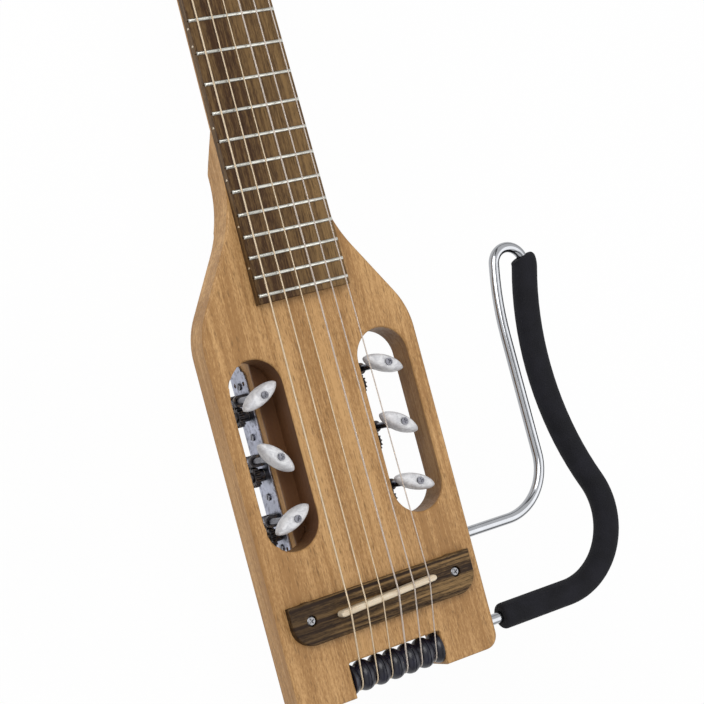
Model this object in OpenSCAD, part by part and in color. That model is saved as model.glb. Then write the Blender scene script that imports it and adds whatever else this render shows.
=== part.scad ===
// Headless travel guitar with nylon strings, in-body tuners and a lift-off lap rest.
// Millimetres. The guitar lies on its back: +X to the treble side, +Y to the head, +Z out of
// the face. Y = 0 is the scale end under the saddle, Z = 0 is the back of the tuner block.

/* [Scale and neck] */
// String length from the nut to the scale end
scale_len = 628.65; // [560:0.05:760]
// Number of frets
fret_count = 22; // [18:1:23]
// Width of the fretboard at the nut
nut_w = 47.6; // [44:0.1:54]
// Width of the fretboard at fret 22 of a full board
board_end_w = 58.4; // [52:0.1:64]
// Thickness of the fretboard
board_t = 5.9; // [4.5:0.1:7.5]
// Height of the fret crowns
fret_h = 1.1; // [0.8:0.05:1.4]
// Width of the fret crowns
fret_w = 2.2; // [1.8:0.1:3]
// Fretboard left over past the last fret
board_over = 4.4; // [2:0.1:8]
// Neck thickness under the board next to the nut
neck_t_nut = 14.8; // [12:0.1:17]
// Neck thickness under the board next to the heel
neck_t_heel = 16.5; // [14:0.1:17.5]
// Length of the head behind the scale start
head_len = 31; // [28:0.5:50]

/* [Body] */
// Thickness of the board that the neck and the body are cut from
slab_t = 18; // [16:0.1:24]
// Depth of the block under it that carries the tuners
block_t = 26.45; // [24:0.05:34]
// Width of the tuner block
block_w = 68; // [66:0.1:80]
// Distance from the scale end to the tail
tail_len = 51.5; // [48:0.1:70]
// Wood left outside each tuner slot
rim_w = 8.2; // [6:0.1:16]
// Where the treble shoulder starts to curve in
shoulder_treble = 139; // [139:1:150]
// Where the bass shoulder starts to curve in
shoulder_bass = 151; // [150:1:160]
// Angle of the shoulders to the centre line
shoulder_angle = 32; // [26:1:38]
// Radius of the round part of the shoulders
shoulder_r = 44; // [30:1:60]
// Radius of the hollow part of the shoulders
waist_r = 80; // [60:1:110]
// Where the flat back of the tuner block ends
heel_y = 190; // [180:1:205]
// Corner radius of the tail
tail_corner_r = 8; // [4:0.5:12]

/* [Tuners] */
// Distance between two tuners
tuner_pitch = 35; // [32:0.5:42]
// Distance of the lowest button from the scale end
key_y0 = 53.5; // [52:0.5:60]
// Height of the posts over the back
post_z = 10.2; // [10:0.1:12]
// Radius of the string rollers on the posts
post_r = 5; // [4:0.1:6]
// Thickness of the tuner plates
plate_t = 1.2; // [1:0.1:2]
// Width of the tuner plates
plate_w = 19; // [17:0.1:20]
// Distance of the worm axis from the plate
worm_out = 5.5; // [5:0.1:7]
// Width of a button across its shaft
button_w = 25; // [20:0.5:30]
// Height of a button along its shaft
button_h = 13.5; // [11:0.5:16]
// Thickness of a button
button_t = 9; // [6:0.5:10]
// How far the buttons stand over the face
button_over = 5; // [2:0.5:6]
// Free space outside a button's sweep
finger_gap = 5.3; // [4:0.1:14]
// Free space inside a button's sweep
inner_gap = 3.3; // [2.5:0.1:5]

/* [Bridge and tail] */
// Length of the bridge across the body
bridge_w = 120; // [100:1:126]
// Height of the bridge over the face
bridge_h = 4.8; // [4:0.1:6.5]
// Bridge edge on the neck side
bridge_front = 8; // [6:0.5:12]
// Bridge edge on the tail side
bridge_back = 15.5; // [13:0.5:18]
// Length of the saddle
saddle_w = 64; // [60:1:70]
// Thickness of the saddle
saddle_t = 3.6; // [3:0.1:4.5]
// Slant of the saddle
saddle_slant = 2.5; // [0:0.1:4]
// How far the saddle stands behind the scale end
saddle_back = 2.1; // [1:0.1:4]
// String height of the saddle over the fret crowns
action = 3.2; // [2.5:0.1:5]
// Distance between two rollers at the tail
roller_pitch = 10; // [9:0.1:10.4]
// Radius of the rollers' shoulders
roller_r = 8.8; // [8.6:0.1:9.2]
// Radius of the rollers' grooves
groove_r = 6.3; // [5.5:0.1:6.8]
// Radius of the roller axle
axle_r = 2.5; // [2:0.1:3.5]

/* [Strings] */
// Spread of the outer strings at the nut
spread_nut = 41; // [38:0.5:46]
// Spread of the outer strings at the saddle
spread_saddle = 53.4; // [50:0.1:58]
// Turns of string on each post
wound_turns = 3.5; // [2.5:1:3.5]

/* [Lap rest] */
// Diameter of the lap rest rod
rod_d = 6.35; // [5:0.05:8]
// Diameter of the foam sleeve
foam_d = 15.5; // [13:0.5:20]
// Distance of the upper prong from the scale end
prong_up_y = 15.2; // [13:0.1:20]
// Distance of the lower prong from the scale end, towards the tail
prong_low_y = 38; // [36:0.1:40]
// Depth of the prongs in the body
prong_in = 22; // [15:0.5:23]
// Straight run of the upper prong outside the body
prong_out = 33.8; // [20:0.1:60]

/* [Hidden] */
$fn = 64;

// Clearances: a shaft in its bearing, a part beside a moving one, a string off what turns in it
run_gap = 0.06;
side_gap = 0.3;
rub_gap = 0.2;
// A cut runs this far past a face
over = 1;

// Heights over the back
face_z = block_t + slab_t;
board_z = face_z + board_t;
crown_z = board_z + fret_h;
saddle_z = crown_z + action;

// Places along the neck
function fret_y(n) = scale_len * pow(2, -n / 12);
board_slope = (board_end_w - nut_w) / 2 / (scale_len - fret_y(22));
function board_half(y) = nut_w / 2 + board_slope * (scale_len - y);
board_y = fret_y(fret_count) - board_over;
head_y = scale_len + head_len;
nut_t = 4.8;

// Tuners: the axis of a button is button_x from the centre line, which sets the slots and the body
plate_x = block_w / 2 + plate_t;
button_x = plate_x + worm_out;
slot_in = button_x - button_w / 2 - inner_gap;
slot_out = button_x + button_w / 2 + finger_gap;
slot_r = (slot_out - slot_in) / 2;
slot_x = (slot_out + slot_in) / 2;
slot_low = key_y0 - 17.5;
slot_high = key_y0 + 2 * tuner_pitch + 20.5;
body_w = 2 * (slot_out + rim_w);

// Worm and wheel: one start on fourteen teeth
teeth = 14;
wheel_pitch_r = 5.6;
worm_pitch_r = 3;
worm_pitch = 2 * PI * wheel_pitch_r / teeth;
worm_tip_r = worm_pitch_r + 0.6;
worm_root_r = worm_pitch_r - 0.8;
wheel_tip_r = wheel_pitch_r + 0.55;
wheel_root_r = wheel_pitch_r - 0.8;
wheel_w = 3.4;
worm_len = 8;
post_back = wheel_pitch_r + worm_pitch_r;
shaft_r = 1.9;
spindle_r = 3;
button_top = face_z + button_over;

// Strings 1 to 3 have their tuners on the treble side, 4 to 6 on the bass side. The outer
// strings go to the posts next to the tail, the inner ones to the posts next to the neck.
function side(i) = i <= 3 ? 1 : -1;
function rank(i) = i <= 3 ? i - 1 : 6 - i;
function key_y(i) = key_y0 + rank(i) * tuner_pitch;
function post_y(i) = key_y(i) - post_back;
function roller_x(i) = (3.5 - i) * roller_pitch;
// Rest turn of each button, in degrees
button_turn = [-24, -36, -27, 27, -49, 27];
// Radius of each string
string_r = [0.36, 0.41, 0.5, 0.38, 0.45, 0.54];

// Tail: rollers in a cut-out, then a channel for the strings on each side of a centre web
cut_w = 6 * roller_pitch + 1;
cut_y = -31.6;
cut_r = 1.5;
roller_y = -(tail_len - 10);
roller_z = face_z - 7.2;
axle_in = 7;
web_w = 6;
channel_half = 2.5 * roller_pitch + 2;
channel_y = key_y0 + 2 * tuner_pitch + 1.5;
channel_z_tail = 33;
channel_z_neck = 20;

// Lap rest: the rod lies half way down the slab, and the foam on its outer run
rod_z = block_t + slab_t / 2;
rod_r = rod_d / 2;

// Output jack in the tail face of the bass side, and the hole for its lead
jack_x = -48;
jack_r = 6;
jack_len = 38;
lead_r = 0.9;
lead_top = [-saddle_w / 2 + 2.5, -saddle_back - 1.3, face_z + 0.8];
lead_end = [jack_x + 1, -tail_len + jack_len + 0.6, rod_z + 0.4];

// Shapes that repeat

// A straight round bar between two points
module bar(p, q, r) {
    v = q - p;
    translate(p)
        rotate([0, acos(v.z / norm(v)), atan2(v.y, v.x)])
            cylinder(h = norm(v), r = r);
}

// A bar along X, from x0 to x1
module bar_x(x0, x1, y, z, r, fn = 64) {
    translate([min(x0, x1), y, z])
        rotate([0, 90, 0])
            cylinder(h = abs(x1 - x0), r = r, $fn = fn);
}

// A bar along Y, from y0 to y1
module bar_y(x, y0, y1, z, r, fn = 64) {
    translate([x, max(y0, y1), z])
        rotate([90, 0, 0])
            cylinder(h = abs(y1 - y0), r = r, $fn = fn);
}

// A flat shape with round ends, w long along X and t wide
module stadium(w, t) {
    square([w - t, t], center = true);
    for (s = [-1, 1])
        translate([s * (w - t) / 2, 0])
            circle(d = t);
}

// A skin over rings of equally many points. A looped skin runs from the last ring back to the
// first, and any other is closed by its end points.
module skin(rings, looped = false, ends = []) {
    n = len(rings[0]);
    count = len(rings);
    pts = [for (ring = rings) for (p = ring) p];
    last = looped ? count - 1 : count - 2;
    walls = [for (k = [0:last]) for (j = [0:n - 1])
        let (a = k * n + j,
             b = k * n + (j + 1) % n,
             c = (k + 1) % count * n + (j + 1) % n,
             d = (k + 1) % count * n + j)
        each [[a, d, c], [a, c, b]]];
    caps = looped ? [] : [for (j = [0:n - 1])
        each [[n * count, j, (j + 1) % n],
            [n * count + 1, n * (count - 1) + (j + 1) % n, n * (count - 1) + j]]];
    polyhedron(concat(pts, ends), concat(walls, caps));
}

// Points of an arc about c
function arc(c, r, a0, a1, n) =
    [for (k = [0:n]) c + r * [cos(a0 + (a1 - a0) * k / n), sin(a0 + (a1 - a0) * k / n)]];

// Outline

// One side of the body from the tail corner to the end of the shoulder: straight up to y, a round
// part, a slope at shoulder_angle, and a hollow part that runs into the neck
function shoulder(y) =
    let (w = body_w / 2,
         a = shoulder_angle,
         p = [w - shoulder_r * (1 - cos(a)), y + shoulder_r * sin(a)],
         far_y = p.y + (p.x - waist_r * (1 - cos(a))) / tan(a) + waist_r * sin(a),
         neck = board_half(far_y) / (1 - board_slope / tan(a)),
         c = [neck + waist_r, far_y - neck / tan(a)])
    concat(
        arc([w - tail_corner_r, -tail_len + tail_corner_r], tail_corner_r, -90, 0, 8),
        arc([w - shoulder_r, y], shoulder_r, 0, a, 12),
        arc(c, waist_r, 180 + a, 180, 16));
function shoulder_end(y) =
    let (side = shoulder(y))
    side[len(side) - 1].y;
function flip_x(list) = [for (k = [len(list) - 1:-1:0]) [-list[k].x, list[k].y]];

module body_outline() {
    corner = 6;
    h = board_half(head_y - corner);
    polygon(concat(
        shoulder(shoulder_treble),
        arc([h - corner, head_y - corner], corner, 0, 90, 6),
        arc([corner - h, head_y - corner], corner, 90, 180, 6),
        flip_x(shoulder(shoulder_bass))));
}

// The part of the slab between two places along the neck
module slab_between(y0, y1) {
    intersection() {
        translate([0, 0, block_t])
            linear_extrude(slab_t)
                body_outline();
        translate([-body_w, y0, block_t - over])
            cube([2 * body_w, y1 - y0, slab_t + 2 * over]);
    }
}

// Radius of the neck's back at a place where it is t thick, with straight sides down to 'straight'
function neck_r(y, t, straight) =
    (pow(board_half(y), 2) + pow(t - straight, 2)) / (2 * (t - straight));

// Slice of the round neck that ends at y, wider than the outline
slice_t = 0.5;
module neck_slice(y, t, straight) {
    r = neck_r(y, t, straight);
    w = board_half(y) + over;
    translate([0, y, 0])
        rotate([90, 0, 0])
            linear_extrude(slice_t)
                intersection() {
                    translate([0, face_z - t + r])
                        circle(r + 0.15, $fn = 48);
                    translate([-w, face_z - t - over])
                        square([2 * w, t + over]);
                }
}

// Slice of the square slab that starts at y, wider than the outline
module slab_slice(y) {
    w = board_half(y) + over;
    translate([-w, y, block_t])
        cube([2 * w, slice_t, slab_t]);
}

// The neck starts square, past both shoulders, and is round between neck_start and neck_end
square_start = max(shoulder_end(shoulder_treble), shoulder_end(shoulder_bass)) + 1;
neck_start = 272;
neck_end = scale_len - 12;
square_end = scale_len + 2;
neck_side_heel = 1.4;
neck_side_nut = 0.8;

module round_neck() {
    r0 = neck_r(neck_start, neck_t_heel, neck_side_heel);
    r1 = neck_r(neck_end, neck_t_nut, neck_side_nut);
    p0 = [0, neck_start, face_z - neck_t_heel + r0];
    p1 = [0, neck_end, face_z - neck_t_nut + r1];
    v = p1 - p0;
    w = board_half(neck_start) + over;
    intersection() {
        translate([-w, neck_start, face_z - neck_t_heel - over])
            cube([2 * w, neck_end - neck_start, neck_t_heel + over]);
        translate(p0 - v / 10)
            rotate([-90 + atan2(v.z, v.y), 0, 0])
                cylinder(h = norm(v) * 1.2, r1 = r0 - (r1 - r0) / 10, r2 = r1 + (r1 - r0) / 10);
    }
}

// The slot in front of one row of tuners
module tuner_slot(s) {
    translate([s * slot_x, (slot_low + slot_high) / 2, block_t - over])
        linear_extrude(slab_t + 2 * over)
            rotate(90)
                stadium(slot_high - slot_low, 2 * slot_r);
}

// The channel under the bridge that leads the strings from the rollers to the posts
module string_channel(s) {
    x0 = s > 0 ? web_w / 2 : -channel_half;
    translate([x0, 0, 0])
        rotate([90, 0, 90])
            linear_extrude(channel_half - web_w / 2)
                polygon([[cut_y - over, -over], [channel_y, -over], [channel_y, channel_z_neck],
                    [cut_y - over, channel_z_tail]]);
}

// Wood

// The body and the neck are one slab, in two pieces that meet at square_start
module body() {
    color("#b98a5a")
        difference() {
            slab_between(-tail_len - over, square_start);
            for (s = [-1, 1]) {
                tuner_slot(s);
                string_channel(s);
                bridge_screw_hole(s);
            }
            // Cut-out for the rollers, with small corner radii
            translate([0, cut_y, block_t - over])
                linear_extrude(slab_t + 2 * over) {
                    translate([-cut_w / 2, -tail_len])
                        square([cut_w, tail_len - cut_r]);
                    translate([-cut_w / 2 + cut_r, -cut_r - over])
                        square([cut_w - 2 * cut_r, cut_r + over]);
                    for (s = [-1, 1])
                        translate([s * (cut_w / 2 - cut_r), -cut_r])
                            circle(cut_r);
                }
            bar_x(-cut_w / 2 - axle_in, cut_w / 2 + axle_in, roller_y, roller_z, axle_r);
            for (y = [prong_up_y, -prong_low_y])
                bar_x(body_w / 2 - prong_in - side_gap, body_w / 2 + over, y, rod_z, rod_r + run_gap);
            bar_y(jack_x, -tail_len - over, -tail_len + jack_len, rod_z, jack_r + 0.1);
            lead_hole();
        }
}

module neck() {
    color("#b98a5a")
        difference() {
            intersection() {
                translate([0, 0, block_t - over])
                    linear_extrude(slab_t + 2 * over)
                        body_outline();
                union() {
                    hull() {
                        slab_slice(square_start);
                        neck_slice(neck_start, neck_t_heel, neck_side_heel);
                    }
                    round_neck();
                    hull() {
                        neck_slice(neck_end + slice_t, neck_t_nut, neck_side_nut);
                        slab_slice(square_end - slice_t);
                    }
                    translate([-nut_w, square_end, block_t])
                        cube([2 * nut_w, head_y + over - square_end, slab_t]);
                }
            }
            for (s = [-1, 1])
                anchor_screw_hole(s);
            truss_bore();
        }
}

module tuner_block() {
    r = 12;
    plan_r = 15;
    end_y = heel_y + r;
    color("#a87b4e")
        difference() {
            intersection() {
                translate([-block_w / 2, 0, 0])
                    rotate([90, 0, 90])
                        linear_extrude(block_w)
                            difference() {
                                translate([cut_y, 0])
                                    square([end_y - cut_y, block_t]);
                                translate([end_y, block_t - r])
                                    circle(r);
                                translate([heel_y, -over])
                                    square([r + over, block_t - r + over]);
                            }
                linear_extrude(block_t) {
                    translate([-block_w / 2, cut_y])
                        square([block_w, end_y - plan_r - cut_y]);
                    translate([-block_w / 2 + plan_r, cut_y])
                        square([block_w - 2 * plan_r, end_y - cut_y]);
                    for (s = [-1, 1])
                        translate([s * (block_w / 2 - plan_r), end_y - plan_r])
                            circle(plan_r);
                }
            }
            for (s = [-1, 1])
                string_channel(s);
            for (i = [1:6]) {
                bar_x(side(i) * (channel_half - over), side(i) * (block_w / 2 + over),
                    post_y(i), post_z, post_r + side_gap);
                bar_x(side(i) * 0.6, side(i) * (web_w / 2 + over), post_y(i), post_z,
                    spindle_r + run_gap);
            }
            for (s = [-1, 1])
                for (y = plate_screw_y)
                    bar_x(s * (block_w / 2 - screw_in), s * (block_w / 2 + over), y, post_z,
                        plate_screw_r);
            bar_y(0, heel_y - 14, heel_y + over, strap_z, 1.6);
        }
}

module fretboard() {
    color("#6b4f38")
        difference() {
            translate([0, 0, face_z])
                linear_extrude(board_t)
                    polygon([[-board_half(board_y), board_y], [board_half(board_y), board_y],
                        [board_half(scale_len), scale_len], [-board_half(scale_len), scale_len]]);
            for (n = [1:fret_count])
                translate([0, fret_y(n), board_z - tang_h / 2 + 0.1])
                    cube([2 * body_w, tang_w, tang_h + 0.2], center = true);
            for (d = dots)
                dot(d, 0.02);
        }
}

// Side dots: fret and offset along the board, as the octave has two
dots = [[3, 0], [5, 0], [7, 0], [9, 0], [12, -5], [12, 5], [15, 0], [17, 0], [19, 0], [21, 0]];
dot_r = 1.1;
module dot(d, extra) {
    y = (fret_y(d[0]) + fret_y(d[0] - 1)) / 2 + d[1];
    bar_x(-board_half(y), -board_half(y) + 1.5, y, face_z + board_t * 0.55, dot_r + extra, 24);
}

module side_dots() {
    color("#e9e2cf")
        for (d = dots)
            if (d[0] <= fret_count)
                dot(d, 0);
}

// Frets: a round crown with bevelled ends on a tang
tang_w = 0.6;
tang_h = 2.2;
module frets() {
    crown_r = (pow(fret_w / 2, 2) + pow(fret_h, 2)) / (2 * fret_h);
    color("silver")
        for (n = [1:fret_count]) {
            w = board_half(fret_y(n)) - 0.3;
            translate([0, fret_y(n), board_z]) {
                intersection() {
                    bar_x(-w - over, w + over, 0, fret_h - crown_r, crown_r, 32);
                    translate([0, fret_w, 0])
                        rotate([90, 0, 0])
                            linear_extrude(2 * fret_w)
                                polygon([[-w, 0], [w, 0], [w - 0.6, fret_h + 0.1],
                                    [0.6 - w, fret_h + 0.1]]);
                }
                translate([-w + 1, -tang_w / 2 + 0.02, -tang_h + 0.15])
                    cube([2 * w - 2, tang_w - 0.04, tang_h - 0.15]);
            }
        }
}

// Head

// Height and place of a string on the nut, in the anchor and on the saddle
function nut_x(i) = (3.5 - i) / 5 * spread_nut;
function nut_string_z(i) = crown_z + 0.5 + string_r[i - 1];
anchor_y = scale_len + nut_t + 13.5;
anchor_t = 10;
anchor_h = 7;
anchor_z = face_z + 3.3;
anchor_hole_r = 1;
ball_r = 1.9;
ball_seat = 4.2;

module nut() {
    top = crown_z + 1.3;
    color("#efe6cf")
        difference() {
            translate([-nut_w / 2 + 0.4, scale_len, face_z])
                cube([nut_w - 0.8, nut_t, top - face_z]);
            // The back of the top slopes down to the head
            translate([-nut_w, scale_len + 1.6, top])
                rotate([-22, 0, 0])
                    cube([2 * nut_w, 2 * nut_t, nut_t]);
            for (i = [1:6]) {
                r = string_r[i - 1] + 0.05;
                bar_y(nut_x(i), scale_len - over, scale_len + nut_t + over, nut_string_z(i), r, 24);
                translate([nut_x(i) - r, scale_len - over, nut_string_z(i)])
                    cube([2 * r, nut_t + 2 * over, 3]);
            }
        }
}

// A slim steel rod under the board, with its nut in a pocket behind the string nut
truss_z = face_z - 6;
truss_r = 2.4;
pocket_y = scale_len + nut_t + 1;
pocket_len = 11;
module truss_bore() {
    bar_y(0, neck_start - 20, pocket_y + over, truss_z, truss_r + 0.3);
    translate([-5, pocket_y, truss_z - 5])
        cube([10, pocket_len, 20]);
}

module truss_rod() {
    color("#8d9096") {
        bar_y(0, neck_start - 18, pocket_y + 1.5, truss_z, truss_r);
        difference() {
            bar_y(0, pocket_y + 1.5, pocket_y + 8.5, truss_z, 3.9, 6);
            bar_y(0, pocket_y + 4.5, pocket_y + 9.5, truss_z, 2, 6);
        }
    }
}

anchor_screw_x = nut_x(3) + spread_nut / 10;
module anchor_screw_hole(s) {
    translate([s * anchor_screw_x, anchor_y + anchor_t / 2, face_z - 10])
        cylinder(h = 11, r = 1.2);
}

module string_anchor() {
    w = spread_nut + 4.4;
    color("#2b2b2e")
        difference() {
            translate([-w / 2, anchor_y, face_z])
                cube([w, anchor_t, anchor_h]);
            translate([-w, anchor_y, face_z + anchor_h - 2])
                rotate([45, 0, 0])
                    translate([0, -4, 0])
                        cube([2 * w, 4, 4]);
            for (i = [1:6]) {
                bar_y(nut_x(i), anchor_y - over, anchor_y + anchor_t + over, anchor_z, anchor_hole_r);
                bar_y(nut_x(i), anchor_y + anchor_t - ball_seat, anchor_y + anchor_t + over, anchor_z,
                    ball_r + 0.3);
            }
            for (s = [-1, 1])
                translate([s * anchor_screw_x, anchor_y + anchor_t / 2, face_z - over]) {
                    cylinder(h = 20, r = 1.35);
                    translate([0, 0, over + anchor_h - 1.9])
                        cylinder(h = 5, r = 1.9);
                }
        }
}

module anchor_screws() {
    color("#b9bcc2")
        for (s = [-1, 1])
            translate([s * anchor_screw_x, anchor_y + anchor_t / 2, face_z - 9.5])
                difference() {
                    union() {
                        cylinder(h = 9.5 + anchor_h - 1.8, r = 1.15);
                        translate([0, 0, 9.5 + anchor_h - 1.85])
                            cylinder(h = 1.5, r = 1.8);
                    }
                    translate([0, 0, 9.5 + anchor_h - 1])
                        cylinder(h = 2, r = 0.9, $fn = 6);
                }
}

// Brass spools at the string ends, seated in the back of the anchor
module string_balls() {
    color("#c8a44e")
        for (i = [1:6])
            difference() {
                bar_y(nut_x(i), anchor_y + anchor_t - ball_seat, anchor_y + anchor_t - 0.4, anchor_z,
                    ball_r);
                bar_y(nut_x(i), anchor_y + anchor_t - 2, anchor_y + anchor_t, anchor_z, 0.8, 24);
            }
}

// Bridge

bridge_corner = 12;
bridge_screw_x = 48;
bridge_screw_head = 2.8;
saddle_slot_z = face_z + 0.6;
strip_t = 1.4;

module bridge_screw_hole(s) {
    translate([s * bridge_screw_x, -saddle_back, face_z - 12])
        cylinder(h = 13, r = 1.5);
}

// Places the saddle's slanted line
module on_saddle_line() {
    translate([0, -saddle_back, 0])
        rotate(saddle_slant)
            children();
}

module bridge() {
    h = bridge_w / 2;
    c = bridge_corner;
    color("#5d4330")
        difference() {
            translate([0, 0, face_z])
                linear_extrude(bridge_h) {
                    translate([-h, c - bridge_back])
                        square([bridge_w, bridge_front + bridge_back - c]);
                    translate([c - h, -bridge_back])
                        square([bridge_w - 2 * c, c + over]);
                    for (s = [-1, 1])
                        translate([s * (h - c), c - bridge_back])
                            circle(c);
                }
            translate([0, 0, saddle_slot_z])
                linear_extrude(bridge_h)
                    on_saddle_line()
                        stadium(saddle_w + 0.2, saddle_t + 0.1);
            for (s = [-1, 1])
                translate([s * bridge_screw_x, -saddle_back, face_z - over]) {
                    cylinder(h = 20, r = 1.9);
                    translate([0, 0, over + bridge_h - 2.4])
                        cylinder(h = 20, r = bridge_screw_head + 0.35);
                }
            lead_hole();
        }
}

module saddle() {
    color("#efe6cf")
        difference() {
            translate([0, 0, saddle_slot_z + strip_t])
                linear_extrude(saddle_z - saddle_slot_z - strip_t)
                    on_saddle_line()
                        stadium(saddle_w, saddle_t);
            // Corners of the top are cut back along the length
            for (s = [-1, 1])
                translate([0, 0, saddle_z])
                    on_saddle_line()
                        translate([0, s * saddle_t / 2, 0])
                            rotate([45, 0, 0])
                                cube([2 * saddle_w, 1, 1], center = true);
        }
}

module lead_hole() {
    more = 3 * (lead_end - lead_top) / norm(lead_end - lead_top);
    bar(lead_top - more, lead_end + more, lead_r + 0.4);
}

// A strip under the saddle and its lead to the jack
module pickup() {
    color("#9aa0a8") {
        translate([0, 0, saddle_slot_z])
            linear_extrude(strip_t)
                on_saddle_line()
                    stadium(saddle_w - 1, saddle_t - 0.6);
        bar(lead_top, lead_end, lead_r);
    }
}

// A cross for a screwdriver, cut from the top of a head at the origin
module cross_cut(w, depth) {
    for (a = [0, 90])
        rotate(a)
            translate([0, 0, -depth / 2 + 0.1])
                cube([w, 0.7, depth + 0.2], center = true);
}

module bridge_screws() {
    color("#c9ccd1")
        for (s = [-1, 1])
            translate([s * bridge_screw_x, -saddle_back, face_z])
                difference() {
                    union() {
                        translate([0, 0, -11])
                            cylinder(h = 11 + bridge_h - 2.3, r = 1.45);
                        translate([0, 0, bridge_h - 2.4])
                            cylinder(h = 1.2, r = bridge_screw_head);
                        translate([0, 0, bridge_h - 1.2])
                            cylinder(h = 0.6, r1 = bridge_screw_head, r2 = bridge_screw_head - 1);
                    }
                    translate([0, 0, bridge_h - 0.6])
                        rotate(25)
                            cross_cut(3, 1);
                }
}

// Electrics and strap

jack_bore_r = 3.25;
module output_jack() {
    color("#c9ccd1")
        translate([jack_x, -tail_len, rod_z])
            rotate([90, 0, 0])
                difference() {
                    union() {
                        translate([0, 0, -jack_len + 1])
                            cylinder(h = jack_len - 1, r = jack_r);
                        cylinder(h = 1.2, r = 8.4);
                        translate([0, 0, 1.2])
                            cylinder(h = 3, r = 8, $fn = 6);
                        translate([0, 0, 4.2])
                            cylinder(h = 6, r = 5);
                        translate([0, 0, 10.2])
                            cylinder(h = 3.6, r = 7);
                    }
                    translate([0, 0, -jack_len + 6])
                        cylinder(h = jack_len + 20, r = jack_bore_r);
                }
}

strap_z = 9;
module strap_button() {
    color("#c9ccd1")
        translate([0, heel_y, strap_z])
            rotate([-90, 0, 0])
                difference() {
                    union() {
                        translate([0, 0, -13])
                            cylinder(h = 14, r = 1.55);
                        cylinder(h = 1.5, r = 5);
                        cylinder(h = 9, r = 3.4);
                        translate([0, 0, 8])
                            cylinder(h = 3, r = 6.4);
                    }
                    translate([0, 0, 11])
                        cross_cut(3, 1.4);
                }
}

// Rollers

module roller_axle() {
    color("#8d9096")
        bar_x(-cut_w / 2 - axle_in + 0.5, cut_w / 2 + axle_in - 0.5, roller_y, roller_z, axle_r);
}

// A roller: a groove for the string between two shoulders, turned about its axle
module roller(i) {
    half = roller_pitch / 2 - 0.15;
    lobe = 4.6;
    color("#17171a")
        translate([roller_x(i), roller_y, roller_z])
            rotate([0, 90, 0])
                rotate_extrude()
                    difference() {
                        union() {
                            translate([0, -half])
                                square([roller_r - lobe, 2 * half]);
                            for (s = [-1, 1])
                                intersection() {
                                    translate([roller_r - lobe, s * half])
                                        circle(lobe);
                                    translate([0, -half])
                                        square([roller_r, 2 * half]);
                                }
                            translate([0, -1.2])
                                square([groove_r, 2.4]);
                        }
                        translate([-over, -half - over])
                            square([axle_r + run_gap + over, 2 * half + 2 * over]);
                    }
}

// Tuners

screw_in = 6;
plate_screw_r = 1.2;
plate_mid = key_y0 + tuner_pitch - post_back / 2;
plate_screw_y = [plate_mid - 47.2, plate_mid - tuner_pitch / 2, plate_mid + tuner_pitch / 2,
    plate_mid + 47.2];

// Outline of a plate, long along X: a straight bar, drawn in and scrolled at both ends
module plate_outline() {
    bar_half = tuner_pitch + 15.5;
    square([2 * bar_half, plate_w], center = true);
    for (s = [-1, 1])
        translate([s * bar_half, 0]) {
            square([8, plate_w - 8], center = true);
            for (t = [-1, 1]) {
                translate([s * 1.5, t * (plate_w / 2 - 3.2)])
                    circle(3.2);
                translate([s * 5.2, t * 2.9])
                    circle(3.1);
            }
            translate([s * 6.2, 0])
                circle(2.4);
        }
}

module tuner_plate(s) {
    mid = [s * block_w / 2, plate_mid, post_z];
    color("#c3c9d3")
        difference() {
            translate(mid)
                rotate([0, s * 90, 0])
                    rotate([0, 0, 90])
                        linear_extrude(plate_t)
                            plate_outline();
            for (k = [0:2])
                bar_x(s * (block_w / 2 - over), s * (plate_x + over),
                    key_y0 - post_back + k * tuner_pitch, post_z, spindle_r + run_gap);
            for (y = plate_screw_y)
                bar_x(s * (block_w / 2 - over), s * (plate_x + over), y, post_z, plate_screw_r + 0.1);
            // Pierced ornament beside each end screw
            for (e = [-1, 1])
                for (t = [-1, 1])
                    bar_x(s * (block_w / 2 - over), s * (plate_x + over),
                        plate_mid + e * (tuner_pitch + 13.2), post_z + t * 5.6, 1.3, 24);
        }
}

module plate_screws() {
    color("#b9bcc2")
        for (s = [-1, 1])
            for (y = plate_screw_y)
                difference() {
                    union() {
                        bar_x(s * (block_w / 2 - screw_in + 0.3), s * (plate_x + 0.2), y, post_z,
                            plate_screw_r - 0.03, 32);
                        bar_x(s * plate_x, s * (plate_x + 0.9), y, post_z, 2.1, 32);
                    }
                    translate([s * (plate_x + 0.9), y, post_z])
                        rotate([35, 0, 0])
                            cube([0.9, 5, 0.6], center = true);
                }
}

// Two ears on a foot hold each worm
ear_t = 2.2;
ear_half = 3.4;
function ear_z(s) = post_z + s * (worm_len / 2 + side_gap + ear_t / 2);
module worm_brackets() {
    foot_t = 0.9;
    color("#3a3431")
        for (i = [1:6])
            difference() {
                union() {
                    for (e = [-1, 1]) {
                        translate([side(i) * (plate_x + worm_out / 2), key_y(i), ear_z(e)])
                            cube([worm_out, 2 * ear_half, ear_t], center = true);
                        translate([side(i) * button_x, key_y(i), ear_z(e) - ear_t / 2])
                            cylinder(h = ear_t, r = ear_half);
                    }
                    translate([side(i) * (plate_x + foot_t / 2), key_y(i), post_z])
                        cube([foot_t, 2 * ear_half, worm_len + 2 * side_gap + 1], center = true);
                }
                translate([side(i) * button_x, key_y(i), post_z - 20])
                    cylinder(h = 40, r = shaft_r + run_gap);
            }
}

// Radius of the worm at a turn angle and a height: one thread of trapezoid section
function thread_d(a, z) =
    let (u = z / worm_pitch - (a - 270) / 360)
    abs(u - round(u)) * worm_pitch;
function thread_r(d) =
    d < 0.3 ? worm_tip_r :
    d > 0.62 ? worm_root_r :
    worm_tip_r - (worm_tip_r - worm_root_r) * (d - 0.3) / 0.32;

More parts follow.
